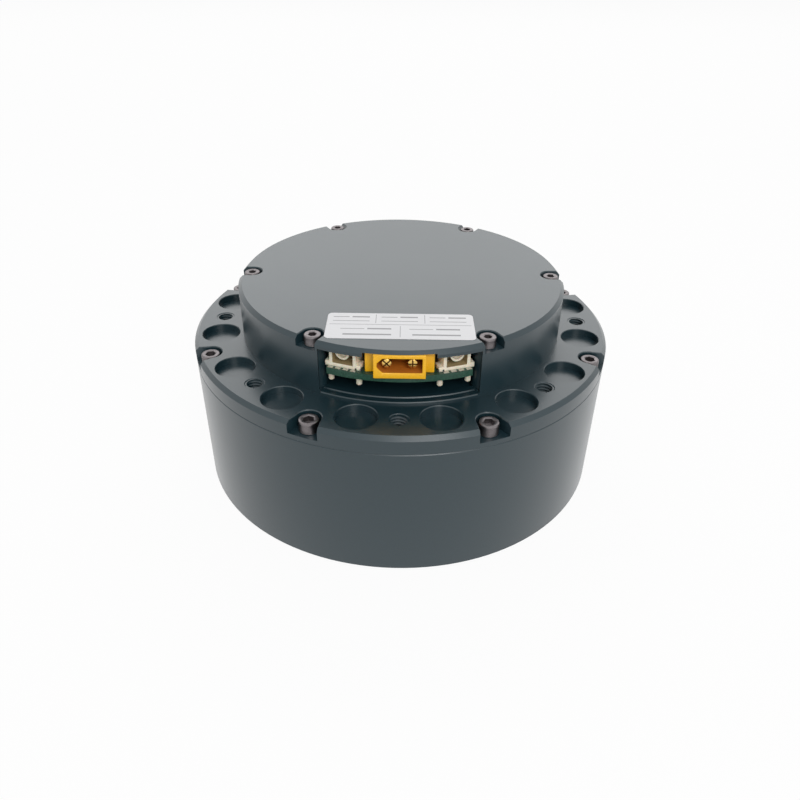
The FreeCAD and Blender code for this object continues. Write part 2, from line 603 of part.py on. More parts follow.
def make_planet_pins():
    pin = disc(PLANET_PIN_RADIUS, HUB_TOP - PLANET_PIN_SEAT, PLATE_TOP)
    return repeated(pin, PLANET_COUNT, PLANET_CIRCLE_RADIUS)


def carrier_screw(clearance):
    """Countersunk screw with its head flush in the plate; clearance makes it a cutter."""
    radius = CARRIER_SCREW_RADIUS + clearance
    head = CARRIER_SCREW_HEAD_RADIUS + clearance
    return turned([
        (0, PLATE_TOP - CARRIER_SCREW_LENGTH), (radius, PLATE_TOP - CARRIER_SCREW_LENGTH),
        (radius, PLATE_TOP - CARRIER_SCREW_HEAD_HEIGHT), (head, PLATE_TOP), (0, PLATE_TOP)])


def make_carrier_plate():
    radius = RING_TIP_RADIUS - PLATE_TO_RING_GAP
    sun_opening = SUN_PITCH_RADIUS + TIP_HEIGHT + TURNING_GAP
    plate = tube(sun_opening, radius, PLATE_BOTTOM, PLATE_TOP)
    pin_seat = disc(PLANET_PIN_RADIUS + SEAT_CLEARANCE, PLATE_BOTTOM, PLATE_TOP)
    cuts = repeated(pin_seat, PLANET_COUNT, PLANET_CIRCLE_RADIUS)
    cuts += repeated(carrier_screw(SEAT_CLEARANCE), PLANET_COUNT, POST_CIRCLE_RADIUS, post_start())
    return plate.cut(group(cuts))


def make_carrier_screws():
    return repeated(carrier_screw(0.0), PLANET_COUNT, POST_CIRCLE_RADIUS, post_start())


# --- Rotor ----------------------------------------------------------------------------------------
def make_rotor_shaft():
    journal = SHAFT_BEARING_BORE_RADIUS - SEAT_CLEARANCE
    return turned([
        (0, PLANET_BOTTOM), (SUN_SEAT_RADIUS, PLANET_BOTTOM), (SUN_SEAT_RADIUS, WEB_BOTTOM),
        (HUB_SEAT_RADIUS, WEB_BOTTOM), (HUB_SEAT_RADIUS, LOWER_BEARING_BOTTOM),
        (journal, LOWER_BEARING_BOTTOM), (journal, SHAFT_TOP), (0, SHAFT_TOP)])


def make_rotor_web():
    web = tube(HUB_SEAT_RADIUS + SEAT_CLEARANCE, FLUX_OUTER_RADIUS, WEB_BOTTOM, WEB_TOP)
    window = disc(WEB_WINDOW_RADIUS, WEB_BOTTOM, WEB_TOP)
    return web.cut(group(repeated(window, WEB_WINDOW_COUNT, WEB_WINDOW_CIRCLE_RADIUS)))


def make_flux_ring():
    return tube(MAGNET_OUTER_RADIUS, FLUX_OUTER_RADIUS, WEB_TOP, CORE_TOP + MAGNET_OVERHANG)


def make_magnets():
    """Arc magnets on the inside of the flux ring."""
    span = FULL_TURN / MAGNET_COUNT * MAGNET_ARC_SHARE
    bottom = CORE_BOTTOM - MAGNET_OVERHANG
    height = CORE_LENGTH + 2 * MAGNET_OVERHANG
    outer = Part.makeCylinder(MAGNET_OUTER_RADIUS - SEAT_CLEARANCE, height, Vector(0, 0, bottom), Vector(0, 0, 1), span)
    inner = Part.makeCylinder(MAGNET_INNER_RADIUS, height, Vector(0, 0, bottom))
    magnet = outer.cut(inner)
    return [spun(magnet, FULL_TURN * index / MAGNET_COUNT) for index in range(MAGNET_COUNT)]


def make_shaft_clip():
    bottom = UPPER_BEARING_BOTTOM + SHAFT_BEARING_WIDTH
    return tube(SHAFT_BEARING_BORE_RADIUS, CLIP_RADIUS, bottom, bottom + CLIP_THICKNESS)


def make_encoder_magnet():
    return disc(ENCODER_MAGNET_RADIUS, SHAFT_TOP, SHAFT_TOP + ENCODER_MAGNET_THICKNESS)


# --- Stator ---------------------------------------------------------------------------------------
def make_stator_core():
    """Laminated ring with teeth that point outward, each with a shoe at its tip."""
    core = tube(CORE_INNER_RADIUS, CORE_RADIUS, CORE_BOTTOM, CORE_TOP)
    half_pitch = math.radians(FULL_TURN / TOOTH_COUNT / 2)
    low = CORE_BACK_RADIUS * math.sin(half_pitch) - TOOTH_WIDTH / 2
    high = SHOE_RADIUS * math.sin(half_pitch) - TOOTH_WIDTH / 2
    half_mouth = SLOT_OPENING / 2
    beyond = CORE_RADIUS + TOOTH_SHOE
    slot = prism([(-low, -CORE_BACK_RADIUS), (low, -CORE_BACK_RADIUS), (high, -SHOE_RADIUS),
                  (half_mouth, -SHOE_RADIUS), (half_mouth, -beyond), (-half_mouth, -beyond),
                  (-half_mouth, -SHOE_RADIUS), (-high, -SHOE_RADIUS)], CORE_BOTTOM, CORE_TOP)
    slots = [spun(slot, FULL_TURN * (index + 0.5) / TOOTH_COUNT) for index in range(TOOTH_COUNT)]
    return core.cut(group(slots))


def make_stator_coils():
    """One coil round each tooth."""
    near = -CORE_BACK_RADIUS - COIL_END_GAP
    far = -SHOE_RADIUS + COIL_END_GAP
    inner = TOOTH_WIDTH / 2 + COIL_CLEARANCE
    outer = inner + COIL_THICKNESS
    coil = block(-outer, outer, far, near, WINDING_BOTTOM, WINDING_TOP)
    coil = coil.cut(block(-inner, inner, far, near, CORE_BOTTOM, CORE_TOP))
    return [spun(coil, FULL_TURN * index / TOOTH_COUNT) for index in range(TOOTH_COUNT)]


def lead_places():
    """Places of the phase leads, each over a coil of its own, opposite the connector window."""
    radius = CORE_BACK_RADIUS + COIL_END_GAP + LEAD_RADIUS
    middle = FULL_TURN / 2
    steps = [index - (LEAD_COUNT - 1) / 2 for index in range(LEAD_COUNT)]
    return [polar(radius, middle + step * FULL_TURN / TOOTH_COUNT) for step in steps]


def make_phase_leads():
    return [disc(LEAD_RADIUS, WINDING_TOP, BOARD_BOTTOM, x, y) for x, y in lead_places()]


# --- Driver cover ---------------------------------------------------------------------------------
def cover_screw_start():
    return FULL_TURN / COVER_SCREW_COUNT / 2


def cover_screw_seat():
    return COVER_TOP - COVER_SCREW_SINK - COVER_SCREW_HEAD_HEIGHT


def cover_boss_radius():
    return COVER_SCREW_RADIUS + COVER_BOSS_WALL


def cover_bosses():
    boss = disc(cover_boss_radius(), FLANGE_TOP, ROOF_BOTTOM)
    return repeated(boss, COVER_SCREW_COUNT, COVER_SCREW_CIRCLE_RADIUS, cover_screw_start())


def make_driver_cover():
    """Lid with a window for the connectors; its screws sink into notches that open through the rim."""
    shell = chamfered_disc(COVER_RADIUS, FLANGE_TOP, COVER_TOP, 0, COVER_CHAMFER)
    bosses = group(cover_bosses())
    hollow = disc(COVER_INNER_RADIUS, FLANGE_TOP, ROOF_BOTTOM)
    window = block(-WINDOW_HALF_WIDTH, WINDOW_HALF_WIDTH, -2 * COVER_RADIUS, -COVER_INNER_RADIUS / 2,
                   FLANGE_TOP + WINDOW_SILL, ROOF_BOTTOM)
    cavity = hollow.fuse(window).cut(bosses)
    seat = cover_screw_seat()
    notch = disc(COVER_NOTCH_RADIUS, seat, COVER_TOP)
    notch = notch.fuse(block(-COVER_NOTCH_RADIUS, COVER_NOTCH_RADIUS, -COVER_RADIUS, 0, seat, COVER_TOP))
    hole = disc(COVER_SCREW_RADIUS + SCREW_HOLE_CLEARANCE, FLANGE_TOP, seat)
    connector_room = block(-POWER_EAR_WIDTH / 2 - BOARD_EDGE_GAP, POWER_EAR_WIDTH / 2 + BOARD_EDGE_GAP,
                           -2 * COVER_RADIUS, power_back_y() + BOARD_EDGE_GAP,
                           BOARD_TOP, BOARD_TOP + POWER_HEIGHT + POWER_ROOF_GAP)
    cuts = repeated(notch, COVER_SCREW_COUNT, COVER_SCREW_CIRCLE_RADIUS, cover_screw_start())
    cuts += repeated(hole, COVER_SCREW_COUNT, COVER_SCREW_CIRCLE_RADIUS, cover_screw_start())
    return shell.cut(cavity).cut(connector_room).cut(group(cuts))


def make_cover_screws():
    length = cover_screw_seat() - FLANGE_TOP + COVER_SCREW_GRIP
    screw = cap_screw(COVER_SCREW_HEAD_RADIUS, COVER_SCREW_HEAD_HEIGHT, COVER_SCREW_RADIUS,
                      length, COVER_SOCKET_FLATS, COVER_SOCKET_DEPTH)
    screw = moved(screw, 0, 0, cover_screw_seat())
    return repeated(screw, COVER_SCREW_COUNT, COVER_SCREW_CIRCLE_RADIUS, cover_screw_start())


def make_blank_label():
    front = LABEL_FRONT_OFFSET - COVER_RADIUS
    half = COVER_SCREW_SIDE - COVER_NOTCH_RADIUS - LABEL_TO_NOTCH
    label = block(-half, half, front, front + LABEL_DEPTH,
                  COVER_TOP, COVER_TOP + LABEL_THICKNESS)
    upright = [edge for edge in label.Edges if abs(edge.tangentAt(edge.FirstParameter).z) > 0.5]
    return label.makeFillet(LABEL_CORNER_RADIUS, upright)


# --- Circuit board --------------------------------------------------------------------------------
def standoff_start():
    return FULL_TURN / STANDOFF_COUNT / 2


def make_circuit_board():
    """Round board with a tab that reaches into the cover's window."""
    tab = disc(COVER_RADIUS - BOARD_TAB_SETBACK, BOARD_BOTTOM, BOARD_TOP)
    half_width = WINDOW_HALF_WIDTH - BOARD_TAB_SIDE_GAP
    tab = tab.common(block(-half_width, half_width, -COVER_RADIUS, 0, BOARD_BOTTOM, BOARD_TOP))
    board = disc(COVER_INNER_RADIUS - BOARD_EDGE_GAP, BOARD_BOTTOM, BOARD_TOP).fuse(tab).removeSplitter()
    boss_room = disc(cover_boss_radius() + BOARD_EDGE_GAP, BOARD_BOTTOM, BOARD_TOP)
    screw_hole = disc(BOARD_SCREW_RADIUS + SCREW_HOLE_CLEARANCE, BOARD_BOTTOM, BOARD_TOP)
    cuts = repeated(boss_room, COVER_SCREW_COUNT, COVER_SCREW_CIRCLE_RADIUS, cover_screw_start())
    cuts += repeated(screw_hole, STANDOFF_COUNT, STANDOFF_CIRCLE_RADIUS, standoff_start())
    cuts += [disc(SIGNAL_PEG_RADIUS + SIGNAL_PEG_CLEARANCE, BOARD_BOTTOM, BOARD_TOP, x, y)
             for angle in signal_angles() for x, y in peg_places(angle)]
    return board.cut(group(cuts))


def make_board_standoffs():
    standoff = tube(BOARD_SCREW_RADIUS + SCREW_THREAD_CLEARANCE, STANDOFF_RADIUS, FLANGE_TOP, BOARD_BOTTOM)
    return repeated(standoff, STANDOFF_COUNT, STANDOFF_CIRCLE_RADIUS, standoff_start())


def make_board_screws():
    screw = cap_screw(BOARD_SCREW_HEAD_RADIUS, BOARD_SCREW_HEAD_HEIGHT, BOARD_SCREW_RADIUS,
                      BOARD_SCREW_LENGTH, BOARD_SOCKET_FLATS, BOARD_SOCKET_DEPTH)
    screw = moved(screw, 0, 0, BOARD_TOP)
    return repeated(screw, STANDOFF_COUNT, STANDOFF_CIRCLE_RADIUS, standoff_start())


def make_encoder_chip():
    half = ENCODER_CHIP_SIDE / 2
    return block(-half, half, -half, half, BOARD_BOTTOM - ENCODER_CHIP_HEIGHT, BOARD_BOTTOM)


def make_power_transistors():
    half_width = TRANSISTOR_WIDTH / 2
    half_length = TRANSISTOR_LENGTH / 2
    body = block(-half_width, half_width, -half_length, half_length, BOARD_TOP, BOARD_TOP + TRANSISTOR_HEIGHT)
    return repeated(body, TRANSISTOR_COUNT, TRANSISTOR_CIRCLE_RADIUS, FULL_TURN / TRANSISTOR_COUNT / 2)


def make_control_chips():
    half = CONTROL_CHIP_SIDE / 2
    return [block(x - half, x + half, -half, half, BOARD_TOP, BOARD_TOP + CONTROL_CHIP_HEIGHT)
            for x in (-CONTROL_CHIP_OFFSET, CONTROL_CHIP_OFFSET)]


def make_capacitors():
    near = power_back_y() + CAPACITOR_GAP
    first = -CAPACITOR_SPACING * (CAPACITOR_COUNT - 1) / 2
    places = [first + CAPACITOR_SPACING * index for index in range(CAPACITOR_COUNT)]
    half = CAPACITOR_WIDTH / 2
    return [block(x - half, x + half, near, near + CAPACITOR_LENGTH, BOARD_TOP, BOARD_TOP + CAPACITOR_HEIGHT)
            for x in places]


# --- Power connector ------------------------------------------------------------------------------
def power_back_y():
    return POWER_FRONT_Y + POWER_NOSE_DEPTH + POWER_EAR_DEPTH + POWER_BACK_DEPTH


def power_pin_height():
    return BOARD_TOP + POWER_CAVITY_FLOOR + POWER_CAVITY_HEIGHT / 2


def make_power_connector():
    """Keyed two-pin socket: one end of its cavity has cut corners, the other is square."""
    half_nose = POWER_NOSE_WIDTH / 2
    half_ear = POWER_EAR_WIDTH / 2
    ear_front = POWER_FRONT_Y + POWER_NOSE_DEPTH
    top = BOARD_TOP + POWER_HEIGHT
    body = block(-half_nose, half_nose, POWER_FRONT_Y, power_back_y(), BOARD_TOP, top)
    ears = block(-half_ear, half_ear, ear_front, ear_front + POWER_EAR_DEPTH, BOARD_TOP, top - POWER_EAR_DROP)
    half_cavity = POWER_CAVITY_WIDTH / 2
    floor = BOARD_TOP + POWER_CAVITY_FLOOR
    ceiling = floor + POWER_CAVITY_HEIGHT
    key = POWER_KEY_CHAMFER
    outline = [(-half_cavity, floor + key), (key - half_cavity, floor), (half_cavity, floor),
               (half_cavity, ceiling), (key - half_cavity, ceiling), (-half_cavity, ceiling - key)]
    corners = [Vector(x, POWER_FRONT_Y, z) for x, z in outline]
    cavity = Part.Face(Part.makePolygon(corners + corners[:1])).extrude(Vector(0, POWER_CAVITY_DEPTH, 0))
    seats = [power_pin_rod(x, POWER_PIN_RADIUS + SEAT_CLEARANCE) for x in power_pin_places()]
    return body.fuse(ears).removeSplitter().cut(cavity).cut(group(seats))


def power_pin_places():
    return [-POWER_PIN_PITCH / 2, POWER_PIN_PITCH / 2]


def power_pin_rod(x, radius):
    front = POWER_FRONT_Y + POWER_PIN_RECESS
    return Part.makeCylinder(radius, power_back_y() - front, Vector(x, front, power_pin_height()), Vector(0, 1, 0))


def make_power_pins():
    """Split pins: one has its cross slit upright, the other at 45 degrees."""
    front = POWER_FRONT_Y + POWER_PIN_RECESS
    height = power_pin_height()
    half = POWER_PIN_SLIT / 2
    reach = POWER_PIN_RADIUS + POWER_PIN_SLIT
    pins = []
    for x, turn in zip(power_pin_places(), (45.0, 0.0)):
        flat = block(x - reach, x + reach, front, front + POWER_PIN_SLIT_DEPTH, height - half, height + half)
        upright = block(x - half, x + half, front, front + POWER_PIN_SLIT_DEPTH, height - reach, height + reach)
        cross = flat.fuse(upright)
        cross.rotate(Vector(x, front, height), Vector(0, 1, 0), turn)
        pins.append(power_pin_rod(x, POWER_PIN_RADIUS).cut(cross))
    return pins


# --- Signal connectors ----------------------------------------------------------------------------
def signal_angles():
    return [-SIGNAL_ANGLE, SIGNAL_ANGLE]


def signal_placed(shape, angle):
    """Turn a shape built against the front plane y = 0 to its angle on the front circle."""
    x, y = polar(SIGNAL_FRONT_RADIUS, angle)
    return moved(spun(shape, angle), x, y, 0)


def peg_offset():
    return SIGNAL_WIDTH / 2 + SIGNAL_TAB_WIDTH - SIGNAL_PEG_RADIUS - SIGNAL_PEG_MARGIN


def peg_depth():
    return SIGNAL_PEG_RADIUS + SIGNAL_TAB_HEIGHT / 2


def peg_places(angle):
    """X and Y of a connector's two pegs."""
    front_x, front_y = polar(SIGNAL_FRONT_RADIUS, angle)
    turn = math.radians(angle)
    places = []
    for side in (-peg_offset(), peg_offset()):
        x = front_x + side * math.cos(turn) - peg_depth() * math.sin(turn)
        y = front_y + side * math.sin(turn) + peg_depth() * math.cos(turn)
        places.append((x, y))
    return places


def make_signal_housings():
    """Three-way sockets: a cavity with a round latch bridge at the top, side tabs and locating pegs."""
    half = SIGNAL_WIDTH / 2
    top = BOARD_TOP + SIGNAL_HEIGHT
    body = block(-half, half, 0, SIGNAL_DEPTH, BOARD_TOP, top)
    half_cavity = SIGNAL_CAVITY_WIDTH / 2
    floor = BOARD_TOP + SIGNAL_CAVITY_FLOOR
    ceiling = floor + SIGNAL_CAVITY_HEIGHT
    cavity = block(-half_cavity, half_cavity, 0, SIGNAL_CAVITY_DEPTH, floor, ceiling)
    latch_centre = Vector(0, 0, ceiling)
    latch = Part.makeCylinder(SIGNAL_LATCH_RADIUS, SIGNAL_CAVITY_DEPTH, latch_centre, Vector(0, 1, 0))
    recess = Part.makeCylinder(SIGNAL_LATCH_RECESS_RADIUS, SIGNAL_LATCH_RECESS_DEPTH, latch_centre, Vector(0, 1, 0))
    body = body.cut(cavity.cut(latch)).cut(recess)
    reach = half + SIGNAL_TAB_WIDTH
    tabs = block(-reach, reach, 0, 2 * peg_depth(), BOARD_TOP, BOARD_TOP + SIGNAL_TAB_HEIGHT)
    tabs = tabs.cut(block(-half, half, 0, 2 * peg_depth(), BOARD_TOP, BOARD_TOP + SIGNAL_TAB_HEIGHT))
    pegs = [disc(SIGNAL_PEG_RADIUS, BOARD_BOTTOM - SIGNAL_PEG_LENGTH, BOARD_TOP, side, peg_depth())
            for side in (-peg_offset(), peg_offset())]
    housing = body.fuse([tabs] + pegs).removeSplitter()
    contacts = group(signal_contacts(SEAT_CLEARANCE))
    housing = housing.cut(contacts)
    return [signal_placed(housing, angle) for angle in signal_angles()]


def signal_contacts(clearance):
    half = SIGNAL_CONTACT_SIZE / 2 + clearance
    middle = BOARD_TOP + SIGNAL_CONTACT_LIFT
    first = -SIGNAL_CONTACT_PITCH * (SIGNAL_CONTACT_COUNT - 1) / 2
    places = [first + SIGNAL_CONTACT_PITCH * index for index in range(SIGNAL_CONTACT_COUNT)]
    front = SIGNAL_DEPTH - SIGNAL_CONTACT_LENGTH
    return [block(x - half, x + half, front, SIGNAL_DEPTH, middle - half, middle + half) for x in places]


def make_signal_contacts():
    return [signal_placed(contact, angle) for angle in signal_angles() for contact in signal_contacts(0.0)]


# --- All sub-parts --------------------------------------------------------------------------------
def make_parts():
    """Node name to shape, for the whole actuator."""
    output_inner, output_outer, output_cage, output_balls = ball_bearing(
        OUTPUT_BEARING_BORE_RADIUS, OUTPUT_BEARING_RADIUS, BEARING_LIP, OUTPUT_BEARING_WIDTH,
        OUTPUT_BALL_RADIUS, OUTPUT_BALL_COUNT)
    shaft_bearings = [
        ball_bearing(SHAFT_BEARING_BORE_RADIUS, SHAFT_BEARING_RADIUS, bottom, SHAFT_BEARING_WIDTH,
                     SHAFT_BALL_RADIUS, SHAFT_BALL_COUNT)
        for bottom in (LOWER_BEARING_BOTTOM, UPPER_BEARING_BOTTOM)]
    parts = {
        "front_housing": make_front_housing(),
        "rear_flange": make_rear_flange(),
        "case_screws": group(make_case_screws()),
        "ring_gear": make_ring_gear(),
        "output_bearing_outer_ring": output_outer,
        "output_bearing_inner_ring": output_inner,
        "output_bearing_cage": output_cage,
        "output_bearing_balls": group(output_balls),
        "shaft_bearing_outer_rings": group([bearing[1] for bearing in shaft_bearings]),
        "shaft_bearing_inner_rings": group([bearing[0] for bearing in shaft_bearings]),
        "shaft_bearing_cages": group([bearing[2] for bearing in shaft_bearings]),
        "shaft_bearing_balls": group([ball for bearing in shaft_bearings for ball in bearing[3]]),
        "stator_core": make_stator_core(),
        "stator_coils": group(make_stator_coils()),
        "phase_leads": group(make_phase_leads()),
        "output_flange": make_output_flange(),
        "planet_pins": group(make_planet_pins()),
        "carrier_plate": make_carrier_plate(),
        "carrier_screws": group(make_carrier_screws()),
        "rotor_shaft": make_rotor_shaft(),
        "rotor_web": make_rotor_web(),
        "flux_ring": make_flux_ring(),
        "rotor_magnets": group(make_magnets()),
        "sun_gear": make_sun_gear(),
        "shaft_clip": make_shaft_clip(),
        "encoder_magnet": make_encoder_magnet(),
        "driver_cover": make_driver_cover(),
        "cover_screws": group(make_cover_screws()),
        "blank_label": make_blank_label(),
        "circuit_board": make_circuit_board(),
        "board_standoffs": group(make_board_standoffs()),
        "board_screws": group(make_board_screws()),
        "encoder_chip": make_encoder_chip(),
        "power_transistors": group(make_power_transistors()),
        "control_chips": group(make_control_chips()),
        "bulk_capacitors": group(make_capacitors()),
        "power_connector": make_power_connector(),
        "power_pins": group(make_power_pins()),
        "signal_connectors": group(make_signal_housings()),
        "signal_contacts": group(make_signal_contacts()),
    }
    for number, (gear, bush) in enumerate(zip(make_planets(), make_planet_bushes()), start=1):
        parts[f"planet_gear_{number}"] = gear
        parts[f"planet_bush_{number}"] = bush
    return parts


os.makedirs("parts", exist_ok=True)
for node, shape in make_parts().items():
    shape.exportStep(f"parts/{node}.step")
    print(node, len(shape.Solids), "solids", round(shape.Volume, 1), "mm3", "valid" if shape.isValid() else "INVALID")
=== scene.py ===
import json
import math

import bmesh
import bpy
from bpy.props import FloatProperty, FloatVectorProperty, IntProperty, PointerProperty
from mathutils import Matrix, Vector


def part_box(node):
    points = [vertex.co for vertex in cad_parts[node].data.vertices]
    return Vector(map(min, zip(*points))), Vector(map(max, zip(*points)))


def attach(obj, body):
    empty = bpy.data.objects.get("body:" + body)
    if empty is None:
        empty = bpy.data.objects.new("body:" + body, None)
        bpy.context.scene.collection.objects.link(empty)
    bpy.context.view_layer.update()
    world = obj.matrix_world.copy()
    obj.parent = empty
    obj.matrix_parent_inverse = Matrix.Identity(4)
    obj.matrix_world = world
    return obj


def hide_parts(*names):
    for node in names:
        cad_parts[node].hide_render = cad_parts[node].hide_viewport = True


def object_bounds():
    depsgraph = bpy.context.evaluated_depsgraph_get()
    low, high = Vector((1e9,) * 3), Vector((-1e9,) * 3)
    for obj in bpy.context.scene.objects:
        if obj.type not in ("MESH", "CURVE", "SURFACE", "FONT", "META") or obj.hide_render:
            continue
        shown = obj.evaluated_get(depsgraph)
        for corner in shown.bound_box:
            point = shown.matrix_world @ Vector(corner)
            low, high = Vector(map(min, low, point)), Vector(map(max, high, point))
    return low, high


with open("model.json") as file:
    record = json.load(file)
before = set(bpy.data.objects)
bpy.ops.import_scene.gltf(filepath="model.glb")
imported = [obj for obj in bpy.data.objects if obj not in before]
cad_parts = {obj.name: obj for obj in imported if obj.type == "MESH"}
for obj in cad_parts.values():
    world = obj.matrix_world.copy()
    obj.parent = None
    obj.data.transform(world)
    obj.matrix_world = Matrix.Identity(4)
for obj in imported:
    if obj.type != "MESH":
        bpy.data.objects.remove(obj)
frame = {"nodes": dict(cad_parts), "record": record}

bl_info = {
    "name": "Robot joint actuator",
    "version": (1, 0, 0),
    "blender": (4, 5, 0),
    "location": "3D View > Sidebar > Actuator",
    "description": "Dresses the frame of a robot joint actuator: case, flange, cover, screws and connectors",
    "category": "Object",
}

MM = 0.001
CAD_BOX = [list(corner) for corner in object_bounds()]

# Heights and radii that come from the frame, so that each detail lands on its own solid.
BODY_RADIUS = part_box("front_housing")[1].x
FLANGE_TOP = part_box("rear_flange")[1].z
COVER_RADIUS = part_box("driver_cover")[1].x
COVER_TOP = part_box("driver_cover")[1].z
BOARD_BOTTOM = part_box("circuit_board")[0].z
BOARD_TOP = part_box("circuit_board")[1].z
OUTPUT_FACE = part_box("output_flange")[0].z
CASE_SCREW_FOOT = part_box("case_screws")[0].z
CASE_SCREW_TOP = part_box("case_screws")[1].z
COVER_SCREW_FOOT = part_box("cover_screws")[0].z
COVER_SCREW_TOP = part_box("cover_screws")[1].z
LABEL_LOW, LABEL_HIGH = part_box("blank_label")
POWER_LOW, POWER_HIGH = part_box("power_connector")
SLOT_OF = {part["node"]: part["material_slot"] for part in frame["record"]["subparts"]}


def linear(code):
    """Linear colour with alpha from an sRGB hex code."""
    parts = [int(code[start:start + 2], 16) / 255 for start in (1, 3, 5)]
    bent = [part / 12.92 if part <= 0.04045 else ((part + 0.055) / 1.055) ** 2.4 for part in parts]
    return (*bent, 1.0)


def polar(radius, angle, height=0.0):
    """Point at this radius, its angle in degrees measured from the connector side towards +X."""
    turn = math.radians(angle)
    return Vector((radius * math.sin(turn), -radius * math.cos(turn), height))


def length(label, text, millimetres):
    """Length property with its default in millimetres."""
    return FloatProperty(name=label, description=text, default=millimetres * MM, min=0.0, unit="LENGTH",
                         precision=5)


def colour(label, text, code):
    """Colour property with its default as an sRGB hex code."""
    return FloatVectorProperty(name=label, description=text, default=linear(code), size=4, min=0.0, max=1.0,
                               subtype="COLOR")


# --- Settings -------------------------------------------------------------------------------------
class MachinedSizes(bpy.types.PropertyGroup):
    edge_break: length("Edge break", "Chamfer that the cutter leaves along notches and sills", 0.18)
    thread_pitch: length("Thread pitch", "Pitch of the tapped holes in the bolt patterns", 0.7)
    thread_core: length("Thread core radius", "Radius of the tapped holes at the thread crests", 1.65)
    thread_root: length("Thread root radius", "Radius of the tapped holes at the thread roots", 1.97)
    pattern_radius: length("Pattern radius", "Circle of the tapped holes and pockets", 42.0)
    output_radius: length("Output hole radius", "Circle of the tapped holes in the output flange", 20.0)
    rear_depth: length("Rear hole depth", "Depth of the tapped holes in the rear flange", 3.4)
    front_depth: length("Front hole depth", "Depth of the tapped holes in the front face", 8.0)
    output_depth: length("Output hole depth", "Depth of the tapped holes in the output flange", 5.0)


class ScrewSizes(bpy.types.PropertyGroup):
    case_circle: length("Case screw circle", "Radius of the circle of the eight case screws", 45.1)
    case_head: length("Case screw head", "Head radius of the case screws", 2.0)
    case_height: length("Case screw head height", "Head height of the case screws", 2.5)
    case_shank: length("Case screw shank", "Shank radius of the case screws", 1.25)
    case_flats: length("Case screw hexagon", "Width across flats of the case screws", 2.0)
    case_notch: length("Case notch", "Radius of the notch round a case screw", 2.55)
    case_flare: length("Case notch flare", "How much wider the notch is at the rim, each side", 0.75)
    cover_circle: length("Cover screw circle", "Radius of the circle of the six cover screws", 34.4)
    cover_head: length("Cover screw head", "Head radius of the cover screws", 1.7)
    cover_height: length("Cover screw head height", "Head height of the cover screws", 2.1)
    cover_shank: length("Cover screw shank", "Shank radius of the cover screws", 1.0)
    cover_flats: length("Cover screw hexagon", "Width across flats of the cover screws", 1.5)
    cover_notch: length("Cover notch", "Radius of the notch round a cover screw", 2.3)
    knurl: length("Knurl depth", "Depth of the straight knurl on the screw heads", 0.05)


class ConnectorSizes(bpy.types.PropertyGroup):
    window_half: length("Window half width", "Half the width of the connector window", 16.0)
    sill: length("Sill height", "Height of the window sill above the flange", 0.75)
    sill_step: length("Sill step", "How far the step in the sill stands behind the cover's side", 1.7)
    sill_drop: length("Sill drop", "Height of the step in the sill", 0.2)
    nose_width: length("Power nose width", "Width of the power connector's nose", 10.1)
    nose_depth: length("Power nose depth", "How far the nose stands in front of the ears", 2.5)
    ear_width: length("Power ear width", "Width of the power connector over its ears", 13.5)
    ear_depth: length("Power ear depth", "Depth of the power connector's ears", 2.6)
    cavity_width: length("Power cavity width", "Width of the power connector's cavity", 8.7)
    cavity_height: length("Power cavity height", "Height of the power connector's cavity", 3.1)
    cavity_floor: length("Power cavity floor", "Thickness under the power connector's cavity", 1.25)
    key: length("Key chamfer", "Cut corners that key the power plug", 1.1)
    pin_radius: length("Power pin radius", "Radius of the power pins", 1.0)
    pin_pitch: length("Power pin pitch", "Distance between the power pins", 5.0)
    signal_width: length("Signal width", "Width of a signal connector", 5.6)
    signal_height: length("Signal height", "Height of a signal connector", 4.1)
    signal_depth: length("Signal depth", "Depth of a signal connector", 4.2)
    signal_circle: length("Signal front radius", "Radius on which the signal connectors' fronts lie", 34.9)
    signal_angle: FloatProperty(name="Signal angle", subtype="ANGLE", default=math.radians(18.7),
                                description="Angle of the signal connectors to the middle")
    peg_length: length("Peg length", "How far the signal connectors' pegs reach below the board", 2.4)
    contact_count: IntProperty(name="Contacts", description="Contacts in a signal connector",
                               default=3, min=2)
    contact_pitch: length("Contact pitch", "Distance between signal contacts", 1.25)


class FinishColours(bpy.types.PropertyGroup):
    anodised: colour("Anodised aluminium", "Dyed oxide film of the case, flange and cover", "#142a31")
    screw: colour("Screw steel", "Blackened steel of the screws", "#7a7576")
    label: colour("Label film", "Matt white label film", "#dddddf")
    rule: colour("Label rules", "Grey rules printed on the label", "#9a9a9c")
    board: colour("Solder mask", "Green solder mask of the circuit board", "#25483a")
    power: colour("Power nylon", "Yellow nylon of the power connector", "#e8ae10")
    signal: colour("Signal nylon", "Cream nylon of the signal connectors", "#e3d9c4")
    pin: colour("Pin plating", "Gold plating of the power pins", "#e2bb6a")


class StudioSettings(bpy.types.PropertyGroup):
    softbox: FloatProperty(name="Softbox", description="Brightness of the large softbox behind the object",
                           default=0.95, min=0.0)
    fill: FloatProperty(name="Fill", description="Brightness of the fill lamp at the front",
                        default=7.0, min=0.0)
    ambient: FloatProperty(name="Ambient", description="Brightness of the room on matt surfaces",
                           default=0.5, min=0.0)


def machined():
    return bpy.context.scene.actuator_machined


def screws():
    return bpy.context.scene.actuator_screws


def connectors():
    return bpy.context.scene.actuator_connectors


def colours():
    return bpy.context.scene.actuator_colours


def studio():
    return bpy.context.scene.actuator_studio


